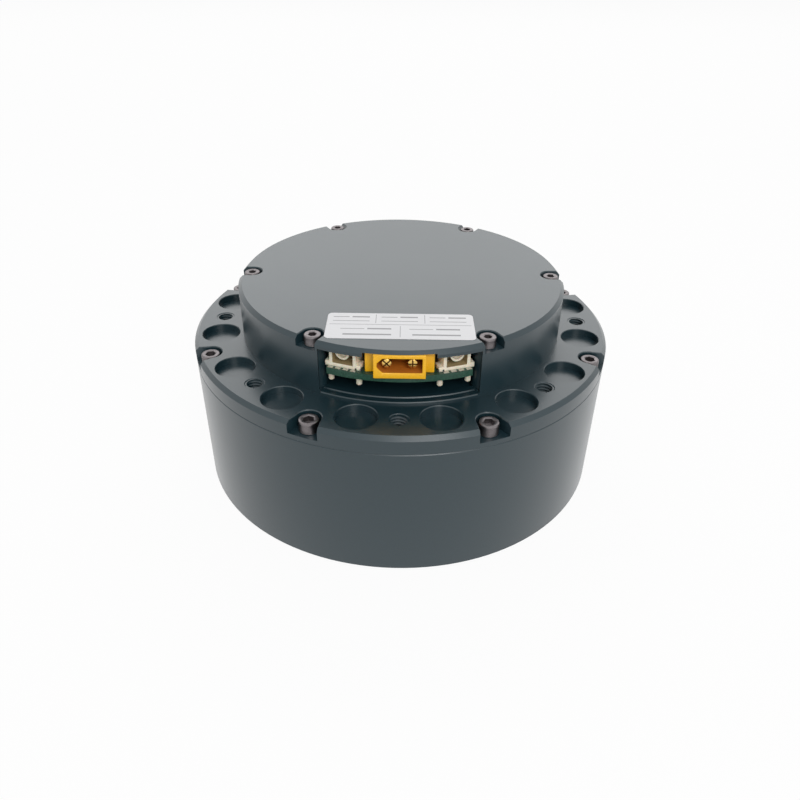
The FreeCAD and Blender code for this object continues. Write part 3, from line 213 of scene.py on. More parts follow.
# --- Mesh helpers ---------------------------------------------------------------------------------
def add_loft(bm, rings, close_start=True, close_end=True):
    """Skin over rings that all have the same number of points, each given as a list of vectors."""
    rows = [[bm.verts.new(point) for point in ring] for ring in rings]
    count = len(rows[0])
    for low, high in zip(rows, rows[1:]):
        for index in range(count):
            after = (index + 1) % count
            bm.faces.new((low[index], low[after], high[after], high[index]))
    if close_start:
        bm.faces.new(reversed(rows[0]))
    if close_end:
        bm.faces.new(rows[-1])


def add_block(bm, low, high):
    """Straight block between two corners."""
    outline = [(low[0], low[1]), (high[0], low[1]), (high[0], high[1]), (low[0], high[1])]
    add_loft(bm, [[Vector((x, y, height)) for x, y in outline] for height in (low[2], high[2])])


def circle(radius, height, count, x=0.0, y=0.0):
    """Ring of points round an upright axis."""
    return [Vector((x, y, 0)) + polar(radius, 360 * index / count, height) for index in range(count)]


def hexagon(flats, height, count):
    """Ring of points on a hexagon; count is a multiple of six, so that each corner has a point."""
    ring = []
    for index in range(count):
        angle = 360 * index / count
        away = math.radians(angle % 60 - 30)
        ring.append(polar(flats / 2 / math.cos(away), angle, height))
    return ring


def moved(ring, matrix):
    return [matrix @ point for point in ring]


def piece_from(bm, name, material, soften=30.0):
    """Object of its own from a bmesh: smooth faces, with sharp edges above the softening angle."""
    bmesh.ops.recalc_face_normals(bm, faces=bm.faces)
    mesh = bpy.data.meshes.new(name)
    bm.to_mesh(mesh)
    bm.free()
    piece = bpy.data.objects.new(name, mesh)
    bpy.context.scene.collection.objects.link(piece)
    if material:
        mesh.materials.append(material)
    shade(piece, soften)
    return piece


def shade(piece, soften=30.0):
    piece.data.shade_smooth()
    piece.data.set_sharp_from_angle(angle=math.radians(soften))


def copy_of_node(node, name, material):
    """Piece that starts as the node's own solid, its seams welded so that it can be cut."""
    source = frame["nodes"][node].data
    bare = bpy.data.meshes.new("bare")
    corners = [corner.co[:] for corner in source.vertices]
    faces = [tuple(face.vertices) for face in source.polygons]
    bare.from_pydata(corners, [], faces)
    bm = bmesh.new()
    bm.from_mesh(bare)
    bpy.data.meshes.remove(bare)
    bmesh.ops.remove_doubles(bm, verts=bm.verts, dist=0.0005 * MM)
    return piece_from(bm, name, material)


def with_modifier(piece, kind, **settings):
    """Add a modifier, keep its result in the mesh and leave no modifier on the piece."""
    modifier = piece.modifiers.new(kind, kind)
    for name, value in settings.items():
        setattr(modifier, name, value)
    seen = piece.evaluated_get(bpy.context.evaluated_depsgraph_get())
    mesh = bpy.data.meshes.new_from_object(seen)
    piece.modifiers.clear()
    before = piece.data
    piece.data = mesh
    bpy.data.meshes.remove(before)
    if not mesh.polygons:
        raise RuntimeError(f"{piece.name}: {kind.lower()} left no faces")
    return piece


def combine(piece, tool_bm, operation="DIFFERENCE"):
    """Cut a piece with, or join it to, the closed shapes in a bmesh."""
    tool = piece_from(tool_bm, "tool", None)
    with_modifier(piece, "BOOLEAN", operation=operation, object=tool, solver="EXACT")
    mesh = tool.data
    bpy.data.objects.remove(tool)
    bpy.data.meshes.remove(mesh)
    shade(piece)
    return piece


def rounded(piece, width, segments=2):
    """Round every sharp edge a little, as moulding or handling does."""
    with_modifier(piece, "BEVEL", width=width, segments=segments, limit_method="ANGLE",
                  angle_limit=math.radians(35), use_clamp_overlap=True)
    shade(piece, 40.0)
    return piece


def paint_cavity_shade(piece, low, high, material):
    """Give the faces inside a cavity, between two corners, a finish of their own: painted shade of the
    cavity's depth.
    """
    piece.data.materials.append(material)
    for face in piece.data.polygons:
        if all(least <= part <= most for least, part, most in zip(low, face.center, high)):
            face.material_index = len(piece.data.materials) - 1


def settle(piece, body, slot, *nodes):
    """The piece rides on its body and stands for these nodes, which are hidden; slot is not used."""
    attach(piece, body)
    if nodes:
        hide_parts(*nodes)
    return piece


# --- Finishes -------------------------------------------------------------------------------------
def add_node(tree, kind, inputs=None, **settings):
    """Add a shader node with its settings; an input is either a value or a socket to link from."""
    node = tree.nodes.new(kind)
    for name, value in settings.items():
        setattr(node, name, value)
    for name, value in (inputs or {}).items():
        if isinstance(value, bpy.types.NodeSocket):
            tree.links.new(value, node.inputs[name])
        else:
            node.inputs[name].default_value = value
    return node


def per_metre(millimetres):
    """Texture scale at which one grain of the pattern is this many millimetres."""
    return 1 / (millimetres * MM)


def rings_per_metre(millimetres):
    """Wave texture scale at which one ring or band is this many millimetres."""
    return 2 * math.pi / (20 * millimetres * MM)


def surface(name, base, metallic, roughness, grain, spread=0.06, height=0.004, tint=0.08, wave=None,
            **constants):
    """Principled surface with a grain of a real size in millimetres in its colour, gloss and relief.

    spread is how far the roughness wanders, height the relief in millimetres, tint how far the colour
    wanders. wave, if given, is (type, direction, millimetres, relief in millimetres) of machining marks,
    windings or stacked sheets.
    """
    material = bpy.data.materials.new(name)
    material.use_nodes = True
    tree = material.node_tree
    tree.nodes.clear()
    place = add_node(tree, "ShaderNodeTexCoord").outputs["Object"]
    fine = add_node(tree, "ShaderNodeTexNoise", {"Vector": place, "Scale": per_metre(grain), "Detail": 3.0})
    broad = add_node(tree, "ShaderNodeTexNoise", {
        "Vector": place, "Scale": per_metre(grain * 30), "Detail": 2.0})
    gloss = add_node(tree, "ShaderNodeMapRange", {
        "Value": broad.outputs["Fac"], "From Min": 0.3, "From Max": 0.7,
        "To Min": roughness - spread, "To Max": roughness + spread})
    darker = tuple(part * (1 - tint) for part in base[:3]) + (1.0,)
    lighter = tuple(min(1.0, part * (1 + tint)) for part in base[:3]) + (1.0,)
    ramp = add_node(tree, "ShaderNodeValToRGB", {"Fac": fine.outputs["Fac"]})
    ramp.color_ramp.elements[0].position = 0.3
    ramp.color_ramp.elements[0].color = darker
    ramp.color_ramp.elements[1].position = 0.7
    ramp.color_ramp.elements[1].color = lighter
    relief = add_node(tree, "ShaderNodeBump", {
        "Height": fine.outputs["Fac"], "Strength": 1.0, "Distance": height * MM})
    if wave:
        kind, direction, size, depth = wave
        aim = {"wave_type": kind}
        aim["rings_direction" if kind == "RINGS" else "bands_direction"] = direction
        marks = add_node(tree, "ShaderNodeTexWave", {"Vector": place, "Scale": rings_per_metre(size)}, **aim)
        relief = add_node(tree, "ShaderNodeBump", {
            "Height": marks.outputs["Fac"], "Normal": relief.outputs["Normal"],
            "Strength": 1.0, "Distance": depth * MM})
    shader = add_node(tree, "ShaderNodeBsdfPrincipled", {
        "Base Color": ramp.outputs["Color"], "Roughness": gloss.outputs["Result"],
        "Normal": relief.outputs["Normal"], "Metallic": metallic, **constants})
    add_node(tree, "ShaderNodeOutputMaterial", {"Surface": shader.outputs["BSDF"]})
    return material


def make_finishes():
    """Every finish of the object by its slot."""
    shades = colours()
    return {
        # Aluminium, turned, fine blasted and black anodised: a dyed oxide film over metal is a dark clear
        # layer, so nearly all of its light is soft gloss, stronger at the sides, with the haze of the
        # blasting over it. Blast grain is under 0.1 mm, drawn at 0.25 mm to show.
        "anodised_aluminium": surface("black_anodised_aluminium", tuple(shades.anodised), 0.0, 0.26, 0.25,
                                      spread=0.01, height=0.0005, IOR=1.45,
                                      **{"Coat Weight": 0.6, "Coat Roughness": 0.45, "Coat IOR": 1.5}),
        # Aluminium, turned and left bare: bright, with rings from the lathe tool. The real ones are finer,
        # drawn 0.4 mm apart to show.
        "bare_aluminium": surface("turned_aluminium", linear("#c9cbcd"), 1.0, 0.28, 0.3,
                                  wave=("RINGS", "Z", 0.4, 0.002)),
        # Alloy steel, cold headed and blackened with oil: grey and satin, a little lighter where handled.
        "screw_steel": surface("blackened_steel", tuple(shades.screw), 1.0, 0.4, 0.2, spread=0.08, tint=0.2),
        # Bearing steel, ground and polished: near mirror.
        "bearing_steel": surface("ground_bearing_steel", linear("#cfd0d2"), 1.0, 0.14, 0.2, height=0.0005),
        # Polyamide cage, moulded: matt and warm white.
        "cage_nylon": surface("moulded_nylon", linear("#d9d2bd"), 0.0, 0.5, 0.3, IOR=1.53),
        # Case-hardened gear steel, hobbed: satin grey with faint tool marks across the flanks, 0.4 mm apart.
        "gear_steel": surface("hobbed_gear_steel", linear("#9b9da0"), 1.0, 0.3, 0.2,
                              wave=("BANDS", "Z", 0.4, 0.001)),
        # Tin bronze, reamed: warm and satin.
        "bronze": surface("reamed_bronze", linear("#b98d52"), 1.0, 0.3, 0.25, tint=0.12),
        # Electrical steel, punched and stacked: sheets of 0.35 mm show as fine bands on the core's sides.
        "lamination_steel": surface("stacked_electrical_steel", linear("#76787b"), 1.0, 0.42, 0.2,
                                    wave=("BANDS", "Z", 0.35, 0.02)),
        # Copper wire in enamel, wound: amber gloss over 0.5 mm turns.
        "enamelled_copper": surface("enamelled_copper_wire", linear("#a8562b"), 0.7, 0.25, 0.4,
                                    wave=("BANDS", "Z", 0.5, 0.08)),
        # Neodymium magnet, nickel plated: bright and slightly warm.
        "magnet_nickel": surface("nickel_plate", linear("#c4c1b8"), 1.0, 0.2, 0.3),
        # Silicone wire jacket, extruded: soft dull red.
        "lead_silicone": surface("extruded_silicone", linear("#9c2420"), 0.0, 0.6, 0.3, IOR=1.41),
        # Polyester label film, coated: matt white.
        "label_film": surface("matt_label_film", tuple(shades.label), 0.0, 0.45, 0.4,
                              spread=0.03, height=0.0008, tint=0.015, IOR=1.55),
        # Glass epoxy board with green solder mask, screened and cured: glossy, with a faint weave of 0.4 mm.
        "board_green": surface("solder_mask", tuple(shades.board), 0.0, 0.3, 0.4,
                               tint=0.25, height=0.006, IOR=1.52),
        # Epoxy moulding compound: matt black with a fine pit.
        "chip_black": surface("moulded_epoxy", linear("#1c1c1d"), 0.0, 0.55, 0.15, height=0.004, IOR=1.55),
        # Ceramic chip capacitor, fired: dull tan.
        "capacitor_tan": surface("fired_ceramic", linear("#b39467"), 0.0, 0.5, 0.2, IOR=1.6),
        # Glass-filled nylon, moulded in yellow: satin with a faint flow texture.
        "connector_yellow": surface("yellow_moulded_nylon", tuple(shades.power), 0.0, 0.38, 0.3,
                                    tint=0.07, height=0.003, IOR=1.53),
        # Nylon, moulded in cream: satin, a little translucent at its thin tabs.
        "connector_cream": surface("cream_moulded_nylon", tuple(shades.signal), 0.0, 0.42, 0.3, tint=0.05,
                                   IOR=1.53, **{"Subsurface Weight": 0.15, "Subsurface Scale": 0.4 * MM}),
        # The same nylons deep in the cavities, painted darker and warmer: painted shade of the cavity's
        # depth, with the warm light bounced inside it painted in too.
        "painted_shade_yellow": surface("yellow_nylon_painted_cavity_shade", linear("#a8601c"), 0.0, 0.5, 0.3, tint=0.1, IOR=1.53),
        "painted_shade_cream": surface("cream_nylon_painted_cavity_shade", linear("#94815c"), 0.0, 0.5, 0.3, tint=0.15, IOR=1.53),
        # Brass with gold plate, turned: bright yellow metal.
        "pin_gold": surface("gold_plate", tuple(shades.pin), 1.0, 0.24, 0.2),
        # Phosphor bronze with tin plate, stamped: pale and satin.
        "contact_tin": surface("tin_plate", linear("#c6c6c2"), 1.0, 0.3, 0.2),
        # Grey ink, screen printed on the film: flat and matt.
        "rule_ink": surface("screen_printed_ink", tuple(shades.rule), 0.0, 0.55, 0.3, tint=0.05, IOR=1.5),
    }


FINISHES = {}


def finish(slot):
    if not FINISHES:
        FINISHES.update(make_finishes())
    return FINISHES[slot]


# --- Threads, notches and screws ------------------------------------------------------------------
def add_thread(bm, x, y, top, bottom, steps=36):
    """Inner thread of a tapped hole as one continuous helix between two heights.

    shape is the profile of one turn: radius, and height as a share of the pitch.
    """
    sizes = machined()
    pitch = sizes.thread_pitch
    core, root = sizes.thread_core, sizes.thread_root
    shape = [(core, 0.0), (core, 0.12), (root, 0.5), (root, 0.62)]
    turns = math.ceil((top - bottom) / pitch) + 2
    rows = []
    for step in range(steps * turns + 1):
        angle = 360 * step / steps
        base = bottom - pitch + pitch * step / steps
        row = []
        for radius, share in shape:
            height = min(max(base + share * pitch, bottom), top)
            point = polar(radius, angle, height)
            row.append(bm.verts.new(point + Vector((x, y, 0))))
        rows.append(row)
    for index in range(len(rows) - 1):
        here, after = rows[index], rows[index + 1]
        for low in range(len(shape) - 1):
            bm.faces.new((here[low], after[low], after[low + 1], here[low + 1]))
        if index + steps + 1 < len(rows):
            above, above_after = rows[index + steps], rows[index + steps + 1]
            bm.faces.new((here[-1], after[-1], above_after[0], above[0]))


def threads(name, slot, body, places, top, bottom):
    """One piece with the threads of a whole pattern of tapped holes."""
    bm = bmesh.new()
    for place in places:
        add_thread(bm, place.x, place.y, top, bottom)
    bmesh.ops.remove_doubles(bm, verts=bm.verts, dist=0.001 * MM)
    bmesh.ops.dissolve_degenerate(bm, dist=0.001 * MM, edges=bm.edges)
    return settle(piece_from(bm, name, finish(slot), 25.0), body, slot)


def widen_holes(piece, places, low, high):
    """Open the tapped holes to the thread roots, so that the thread has room."""
    bm = bmesh.new()
    for place in places:
        rings = [circle(machined().thread_root, height, 48, place.x, place.y) for height in (low, high)]
        add_loft(bm, rings)
    return combine(piece, bm)


def notch_outline(near, flare, reach, grow):
    """Outline of a screw notch about the screw: round on the inner side, open outward and flaring."""
    steps = 24
    turns = [math.pi * index / steps for index in range(steps + 1)]
    arc = [(math.cos(turn) * (near + grow), math.sin(turn) * (near + grow)) for turn in turns]
    far = near + flare + grow
    return arc + [(-far, -reach), (-far, -2 * reach), (far, -2 * reach), (far, -reach)]


def add_notch_bevel(bm, angle, radius, near, flare, reach, top):
    """Cutter that breaks the upper edge of one notch at 45 degrees."""
    break_ = machined().edge_break
    overlap = 0.02 * MM
    place = Matrix.Translation(polar(radius, angle)) @ Matrix.Rotation(math.radians(angle), 4, "Z")
    rings = []
    for height, grow in ((top - break_ - overlap, -overlap), (top + break_, 2 * break_)):
        outline = notch_outline(near, flare, reach, grow)
        rings.append([place @ Vector((x, y, height)) for x, y in outline])
    add_loft(bm, rings)


def add_sector_bevel(bm, profile, half_angle, steps=40):
    """Cutter swept about the main axis over the window: profile is a list of radius and height."""
    rings = []
    for index in range(steps + 1):
        angle = -half_angle + 2 * half_angle * index / steps
        rings.append([polar(radius, angle, height) for radius, height in profile])
    add_loft(bm, rings)


def add_cap_screw(bm, x, y, turn, foot, top, head, height, shank, flats, count=96):
    """Socket cap screw from its foot up: shank, knurled head, rim and hexagon socket with a drilled end."""
    seat = top - height
    knurl = screws().knurl
    corner = flats / math.sqrt(3)
    place = Matrix.Translation((x, y, 0)) @ Matrix.Rotation(math.radians(turn), 4, "Z")

    def knurled(radius, level):
        depths = [knurl if index % 2 else 0.0 for index in range(count)]
        return [polar(radius - depth, 360 * index / count, level) for index, depth in enumerate(depths)]

    rings = [
        circle(shank - 0.25 * MM, foot, count), circle(shank, foot + 0.25 * MM, count),
        circle(shank, seat, count), circle(head - 0.12 * MM, seat, count),
        circle(head, seat + 0.12 * MM, count),
        knurled(head, seat + 0.2 * MM), knurled(head, top - 0.5 * MM),
        circle(head, top - 0.42 * MM, count), circle(head, top - 0.28 * MM, count),
        circle(head - 0.07 * MM, top - 0.1 * MM, count), circle(head - 0.24 * MM, top, count),
        circle(corner + 0.16 * MM, top, count), hexagon(flats, top - 0.12 * MM, count),
        hexagon(flats, top - height * 0.48, count), hexagon(flats * 0.5, top - height * 0.55, count)]
    add_loft(bm, [moved(ring, place) for ring in rings])


def screw_ring(name, node, count, start, radius, **sizes):
    """One piece with a ring of screws, each hexagon left at its own angle as they are when tightened."""
    bm = bmesh.new()
    for index in range(count):
        angle = start + 360 * index / count
        place = polar(radius, angle)
        add_cap_screw(bm, place.x, place.y, angle + 37 * index + 11, **sizes)
    return settle(piece_from(bm, name, finish("screw_steel"), 35.0), "case", "screw_steel", node)


def pattern_places():
    return [polar(machined().pattern_radius, 45 * index) for index in range(8)]


# --- Operators ------------------------------------------------------------------------------------
class ACTUATOR_OT_inner_parts(bpy.types.Operator):
    """Give every part inside the actuator its finish"""
    bl_idname = "actuator.inner_parts"
    bl_label = "Dress inner parts"

    def execute(self, context):
        for node, item in frame["nodes"].items():
            material = finish(SLOT_OF[node])
            item.data.materials.clear()
            item.data.materials.append(material)
        return {"FINISHED"}


class ACTUATOR_OT_case(bpy.types.Operator):
    """Make the front housing with its tapped front pattern"""
    bl_idname = "actuator.case"
    bl_label = "Make case"

    def execute(self, context):
        sizes = machined()
        shell = copy_of_node("front_housing", "case_shell", finish("anodised_aluminium"))
        widen_holes(shell, pattern_places(), -0.5 * MM, sizes.front_depth - 0.05 * MM)
        settle(shell, "case", "anodised_aluminium", "front_housing")
        threads("case_threads", "anodised_aluminium", "case", pattern_places(),
                sizes.front_depth - 0.05 * MM, 0.13 * MM)
        return {"FINISHED"}


class ACTUATOR_OT_flange(bpy.types.Operator):
    """Make the rear flange with its pockets, threads and broken notch edges"""
    bl_idname = "actuator.flange"
    bl_label = "Make rear flange"

    def execute(self, context):
        sizes, fasteners = machined(), screws()
        plate = copy_of_node("rear_flange", "rear_plate", finish("anodised_aluminium"))
        floor = FLANGE_TOP - sizes.rear_depth + 0.05 * MM
        widen_holes(plate, pattern_places(), floor, FLANGE_TOP + 0.5 * MM)
        bm = bmesh.new()
        for index in range(8):
            add_notch_bevel(bm, 22.5 + 45 * index, fasteners.case_circle, fasteners.case_notch,
                            fasteners.case_flare, BODY_RADIUS - fasteners.case_circle, FLANGE_TOP)
        combine(plate, bm)
        settle(plate, "case", "anodised_aluminium", "rear_flange")
        threads("rear_threads", "anodised_aluminium", "case", pattern_places(), FLANGE_TOP - 0.13 * MM, floor)
        return {"FINISHED"}


class ACTUATOR_OT_cover(bpy.types.Operator):
    """Make the driver cover with broken edges at its notches and window sill"""
    bl_idname = "actuator.cover"
    bl_label = "Make driver cover"

    def execute(self, context):
        fasteners, window = screws(), connectors()
        edge = machined().edge_break
        lid = copy_of_node("driver_cover", "cover_lid", finish("anodised_aluminium"))
        bm = bmesh.new()
        for index in range(6):
            add_notch_bevel(bm, 30 + 60 * index, fasteners.cover_circle, fasteners.cover_notch, 0.0,
                            COVER_RADIUS - fasteners.cover_circle, COVER_TOP)
        combine(lid, bm)
        bm = bmesh.new()
        sill = FLANGE_TOP + window.sill
        more = 0.1 * MM
        half = math.degrees(math.asin(window.window_half / COVER_RADIUS)) - 0.4
        step_radius, low_sill = COVER_RADIUS - window.sill_step, sill - window.sill_drop
        add_sector_bevel(bm, [(step_radius - more, sill + more), (step_radius + edge, low_sill),
                              (COVER_RADIUS - edge, low_sill), (COVER_RADIUS + more, low_sill - edge - more),
                              (COVER_RADIUS + more, sill + more)], half)
        combine(lid, bm)
        settle(lid, "case", "anodised_aluminium", "driver_cover")
        return {"FINISHED"}


class ACTUATOR_OT_output(bpy.types.Operator):
    """Make the turning output flange with its threads"""
    bl_idname = "actuator.output"
    bl_label = "Make output flange"

    def execute(self, context):
        sizes = machined()
        places = [polar(sizes.output_radius, 30 + 60 * index) for index in range(6)]
        end = OUTPUT_FACE + sizes.output_depth - 0.05 * MM
        hub = copy_of_node("output_flange", "output_hub", finish("anodised_aluminium"))
        widen_holes(hub, places, OUTPUT_FACE - 0.5 * MM, end)
        settle(hub, "output", "anodised_aluminium", "output_flange")
        threads("output_threads", "anodised_aluminium", "output", places, end, OUTPUT_FACE + 0.13 * MM)
        return {"FINISHED"}


class ACTUATOR_OT_screws(bpy.types.Operator):
    """Make the case screws and the cover screws"""
    bl_idname = "actuator.screws"
    bl_label = "Make screws"

    def execute(self, context):
        sizes = screws()
        screw_ring("case_cap_screws", "case_screws", 8, 22.5, sizes.case_circle, foot=CASE_SCREW_FOOT,
                   top=CASE_SCREW_TOP, head=sizes.case_head, height=sizes.case_height,
                   shank=sizes.case_shank, flats=sizes.case_flats)
        screw_ring("cover_cap_screws", "cover_screws", 6, 30.0, sizes.cover_circle, foot=COVER_SCREW_FOOT,
                   top=COVER_SCREW_TOP, head=sizes.cover_head, height=sizes.cover_height,
                   shank=sizes.cover_shank, flats=sizes.cover_flats)
        return {"FINISHED"}


def rounded_rectangle(low, high, radius, height, steps=8):
    """Ring of points on a rectangle with round corners."""
    ring = []
    centres = [(high.x - radius, high.y - radius, 0), (low.x + radius, high.y - radius, 90),
               (low.x + radius, low.y + radius, 180), (high.x - radius, low.y + radius, 270)]
    for x, y, start in centres:
        for index in range(steps + 1):
            turn = math.radians(start + 90 * index / steps)
            ring.append(Vector((x + radius * math.cos(turn), y + radius * math.sin(turn), height)))
    return ring


class ACTUATOR_OT_label(bpy.types.Operator):
    """Make the unprinted label: white film with plain grey rules and dashes"""
    bl_idname = "actuator.label"
    bl_label = "Make label"

    def execute(self, context):
        low, high = LABEL_LOW, LABEL_HIGH
        corner, worn = 1.0 * MM, 0.03 * MM
        inset = Vector((worn, worn, 0))
        bm = bmesh.new()
        add_loft(bm, [rounded_rectangle(low, high, corner, low.z),
                      rounded_rectangle(low, high, corner, high.z - worn),
                      rounded_rectangle(low + inset, high - inset, corner - worn, high.z)])
        settle(piece_from(bm, "label_film", finish("label_film")), "case", "label_film", "blank_label")
        bm = bmesh.new()
        width, depth = high.x - low.x, high.y - low.y
        bottom, top = high.z - 0.002 * MM, high.z + 0.006 * MM

        def stroke(left, right, front, back):
            """Bar of ink, its edges given as shares of the label's width and depth."""
            add_block(bm, (low.x + left * width, low.y + front * depth, bottom),
                      (low.x + right * width, low.y + back * depth, top))

        # A rule across parts three fields at the back from two in front, and uprights part the fields.
        stroke(0.02, 0.98, 0.535, 0.55)
        for share in (0.333, 0.667):
            stroke(share - 0.002, share + 0.002, 0.6, 0.95)
        stroke(0.498, 0.502, 0.06, 0.49)
        # Each field holds a thin dash, a thick dash beside it and a longer one in front.
        for left in (0.04, 0.37, 0.70):
            stroke(left, left + 0.11, 0.83, 0.855)
            stroke(left + 0.13, left + 0.25, 0.82, 0.87)
            stroke(left, left + 0.25, 0.67, 0.69)
        for left in (0.10, 0.56):
            stroke(left, left + 0.16, 0.36, 0.38)
            stroke(left + 0.18, left + 0.34, 0.35, 0.40)
            stroke(left + 0.02, left + 0.34, 0.13, 0.18)
        settle(piece_from(bm, "label_rules", finish("rule_ink")), "case", "label_film")
        return {"FINISHED"}


def signal_place(side):
    """Where a signal connector stands: its front on its circle, turned to face outward."""
    sizes = connectors()
    turn = side * math.degrees(sizes.signal_angle)
    return Matrix.Translation(polar(sizes.signal_circle, turn)) @ Matrix.Rotation(math.radians(turn), 4, "Z")


def add_pads(bm, place):
    """Row of four solder pads in front of a signal connector."""
    half_width, front, back = 0.55, -0.85, -0.1
    corner, thickness = 0.12 * MM, 0.05 * MM
    for x in (-2.4, -0.8, 0.8, 2.4):
        low, high = Vector((x - half_width, front, 0)) * MM, Vector((x + half_width, back, 0)) * MM
        ring = rounded_rectangle(low, high, corner, BOARD_TOP, 4)
        lift = Vector((0, 0, thickness))
        add_loft(bm, [moved(ring, place), [place @ (point + lift) for point in ring]])


def add_resistors(bm, side):
    """Two chip resistors near the board's edge, beside the power connector."""
    radius, half_width, half_depth, height = 34.6 * MM, 0.3 * MM, 0.45 * MM, 0.4 * MM
    for angle in (12.6333, 14.1237):
        centre = polar(radius, side * angle)
        add_block(bm, (centre.x - half_width, centre.y - half_depth, BOARD_TOP),
                  (centre.x + half_width, centre.y + half_depth, BOARD_TOP + height))


class ACTUATOR_OT_board(bpy.types.Operator):
    """Make the circuit board with solder pads and small parts along its window edge"""
    bl_idname = "actuator.board"
    bl_label = "Make circuit board"

    def execute(self, context):
        board = copy_of_node("circuit_board", "driver_board", finish("board_green"))
        settle(board, "case", "board_green", "circuit_board")
        pads, chips = bmesh.new(), bmesh.new()
        for side in (-1, 1):
            add_pads(pads, signal_place(side))
            add_resistors(chips, side)
        settle(piece_from(pads, "board_pads", finish("contact_tin")), "case", "contact_tin")
        small = piece_from(chips, "board_resistors", finish("chip_black"))
        settle(rounded(small, 0.04 * MM), "case", "chip_black")
        return {"FINISHED"}


def power_body():
    """Keyed power connector: a nose between two ears, with a cavity that is cut off at two corners."""
    sizes = connectors()
    front, back = POWER_LOW.y, POWER_HIGH.y
    low, top = POWER_LOW.z, POWER_HIGH.z
    half_nose, half_ear = sizes.nose_width / 2, sizes.ear_width / 2
    ear_front, ear_drop = front + sizes.nose_depth, 0.15 * MM
    cavity_depth, edge_round = 8 * MM, 0.16 * MM
    bm = bmesh.new()
    add_block(bm, (-half_nose, front, low), (half_nose, back, top))
    body = piece_from(bm, "power_socket", finish("connector_yellow"))
    bm = bmesh.new()
    add_block(bm, (-half_ear, ear_front, low), (half_ear, ear_front + sizes.ear_depth, top - ear_drop))
    combine(body, bm, "UNION")
    half, key = sizes.cavity_width / 2, sizes.key
    floor = low + sizes.cavity_floor
    ceiling = floor + sizes.cavity_height
    outline = [(-half, floor + key), (key - half, floor), (half, floor), (half, ceiling),
               (key - half, ceiling), (-half, ceiling - key)]
    bm = bmesh.new()
    add_loft(bm, [[Vector((x, y, z)) for x, z in outline] for y in (front - 1 * MM, front + cavity_depth)])
    combine(body, bm)
    rounded(body, edge_round, 3)
    # Painted shade: the faces deep in the cavity take a darker, warmer yellow.
    paint_cavity_shade(body, (-half - 0.02 * MM, front + 0.25 * MM, floor - 0.02 * MM),
                (half + 0.02 * MM, front + 8.1 * MM, ceiling + 0.02 * MM), finish("painted_shade_yellow"))
    return body


def power_pins():
    """The pair of round pins, each split crosswise at its tip so that it springs."""
    sizes = connectors()
    height = POWER_LOW.z + sizes.cavity_floor + sizes.cavity_height / 2
    tip = POWER_LOW.y + 0.9 * MM
    end = POWER_HIGH.y - 0.05 * MM
    # Rounded tip: share of the pin's radius, and distance behind the tip in millimetres.
    profile = [(0.72, 0.0), (0.93, 0.12), (1.0, 0.4), (1.0, 9.0)]
    pins = bmesh.new()
    for x in (-sizes.pin_pitch / 2, sizes.pin_pitch / 2):
        rings = []
        for share, along in profile:
            ring = circle(sizes.pin_radius * share, 0, 48)
            rings.append([Vector((x + point.x, tip + along * MM, height + point.y)) for point in ring])
        rings[-1] = [Vector((point.x, end, point.z)) for point in rings[-1]]
        add_loft(pins, rings)
    pair = piece_from(pins, "power_pin_pair", finish("pin_gold"))
    wide, thin, slot_depth = 1.2 * MM, 0.14 * MM, 3 * MM
    section = [Vector((-wide, 0, -thin)), Vector((wide, 0, -thin)),
               Vector((wide, 0, thin)), Vector((-wide, 0, thin))]
    for x, turn in ((-sizes.pin_pitch / 2, 45), (sizes.pin_pitch / 2, 0)):
        for quarter in (0, 90):
            blade = Matrix.Translation((x, 0, height)) @ Matrix.Rotation(math.radians(turn + quarter), 4, "Y")
            near = [blade @ point + Vector((0, tip - 1 * MM, 0)) for point in section]
            far = [blade @ point + Vector((0, tip + slot_depth, 0)) for point in section]
            tool = bmesh.new()
            add_loft(tool, [near, far])
            combine(pair, tool)
    return pair


class ACTUATOR_OT_power(bpy.types.Operator):
    """Make the keyed power connector and its split pins"""
    bl_idname = "actuator.power"
    bl_label = "Make power connector"

    def execute(self, context):
        settle(power_body(), "case", "connector_yellow", "power_connector")
        settle(power_pins(), "case", "pin_gold", "power_pins")
        return {"FINISHED"}


def signal_shell(name):
    """Signal connector's shell at the origin: block with a flanged foot, open mouth and a round recess."""
    sizes = connectors()
    half = sizes.signal_width / 2
    bm = bmesh.new()
    add_block(bm, (-half, 0, BOARD_TOP), (half, sizes.signal_depth, BOARD_TOP + sizes.signal_height))
    shell = piece_from(bm, name, finish("connector_cream"))
    foot_reach, foot_depth, foot_height = 0.9 * MM, 2.2 * MM, 1.0 * MM
    bm = bmesh.new()
    foot_half = half + foot_reach
    add_block(bm, (-foot_half, 0, BOARD_TOP), (foot_half, foot_depth, BOARD_TOP + foot_height))
    combine(shell, bm, "UNION")

    floor, ceiling = BOARD_TOP + 0.75 * MM, BOARD_TOP + 3.25 * MM
    mouth, tongue, mouth_depth, steps = 2.15 * MM, 1.45 * MM, 3.2 * MM, 16
    turns = [math.pi * index / steps for index in range(steps + 1)]
    arc = [(tongue * math.cos(turn), ceiling - tongue * math.sin(turn)) for turn in turns]
    outline = [(-mouth, floor), (mouth, floor), (mouth, ceiling)] + arc + [(-mouth, ceiling)]
    bm = bmesh.new()
    add_loft(bm, [[Vector((x, y, z)) for x, z in outline] for y in (-1 * MM, mouth_depth)])
    combine(shell, bm)
    # Painted shade: the faces deep in the mouth take a darker tan.
    paint_cavity_shade(shell, (-mouth - 0.02 * MM, 0.15 * MM, floor - 0.02 * MM),
                (mouth + 0.02 * MM, 3.3 * MM, ceiling + 0.02 * MM), finish("painted_shade_cream"))

    recess_radius, recess_depth, edge_round = 1.05 * MM, 0.8 * MM, 0.09 * MM
    bm = bmesh.new()
    recess = circle(recess_radius, 0, 40)
    add_loft(bm, [[Vector((point.x, y, ceiling + point.y)) for point in recess]
                  for y in (-1 * MM, recess_depth)])
    combine(shell, bm)
    return rounded(shell, edge_round)


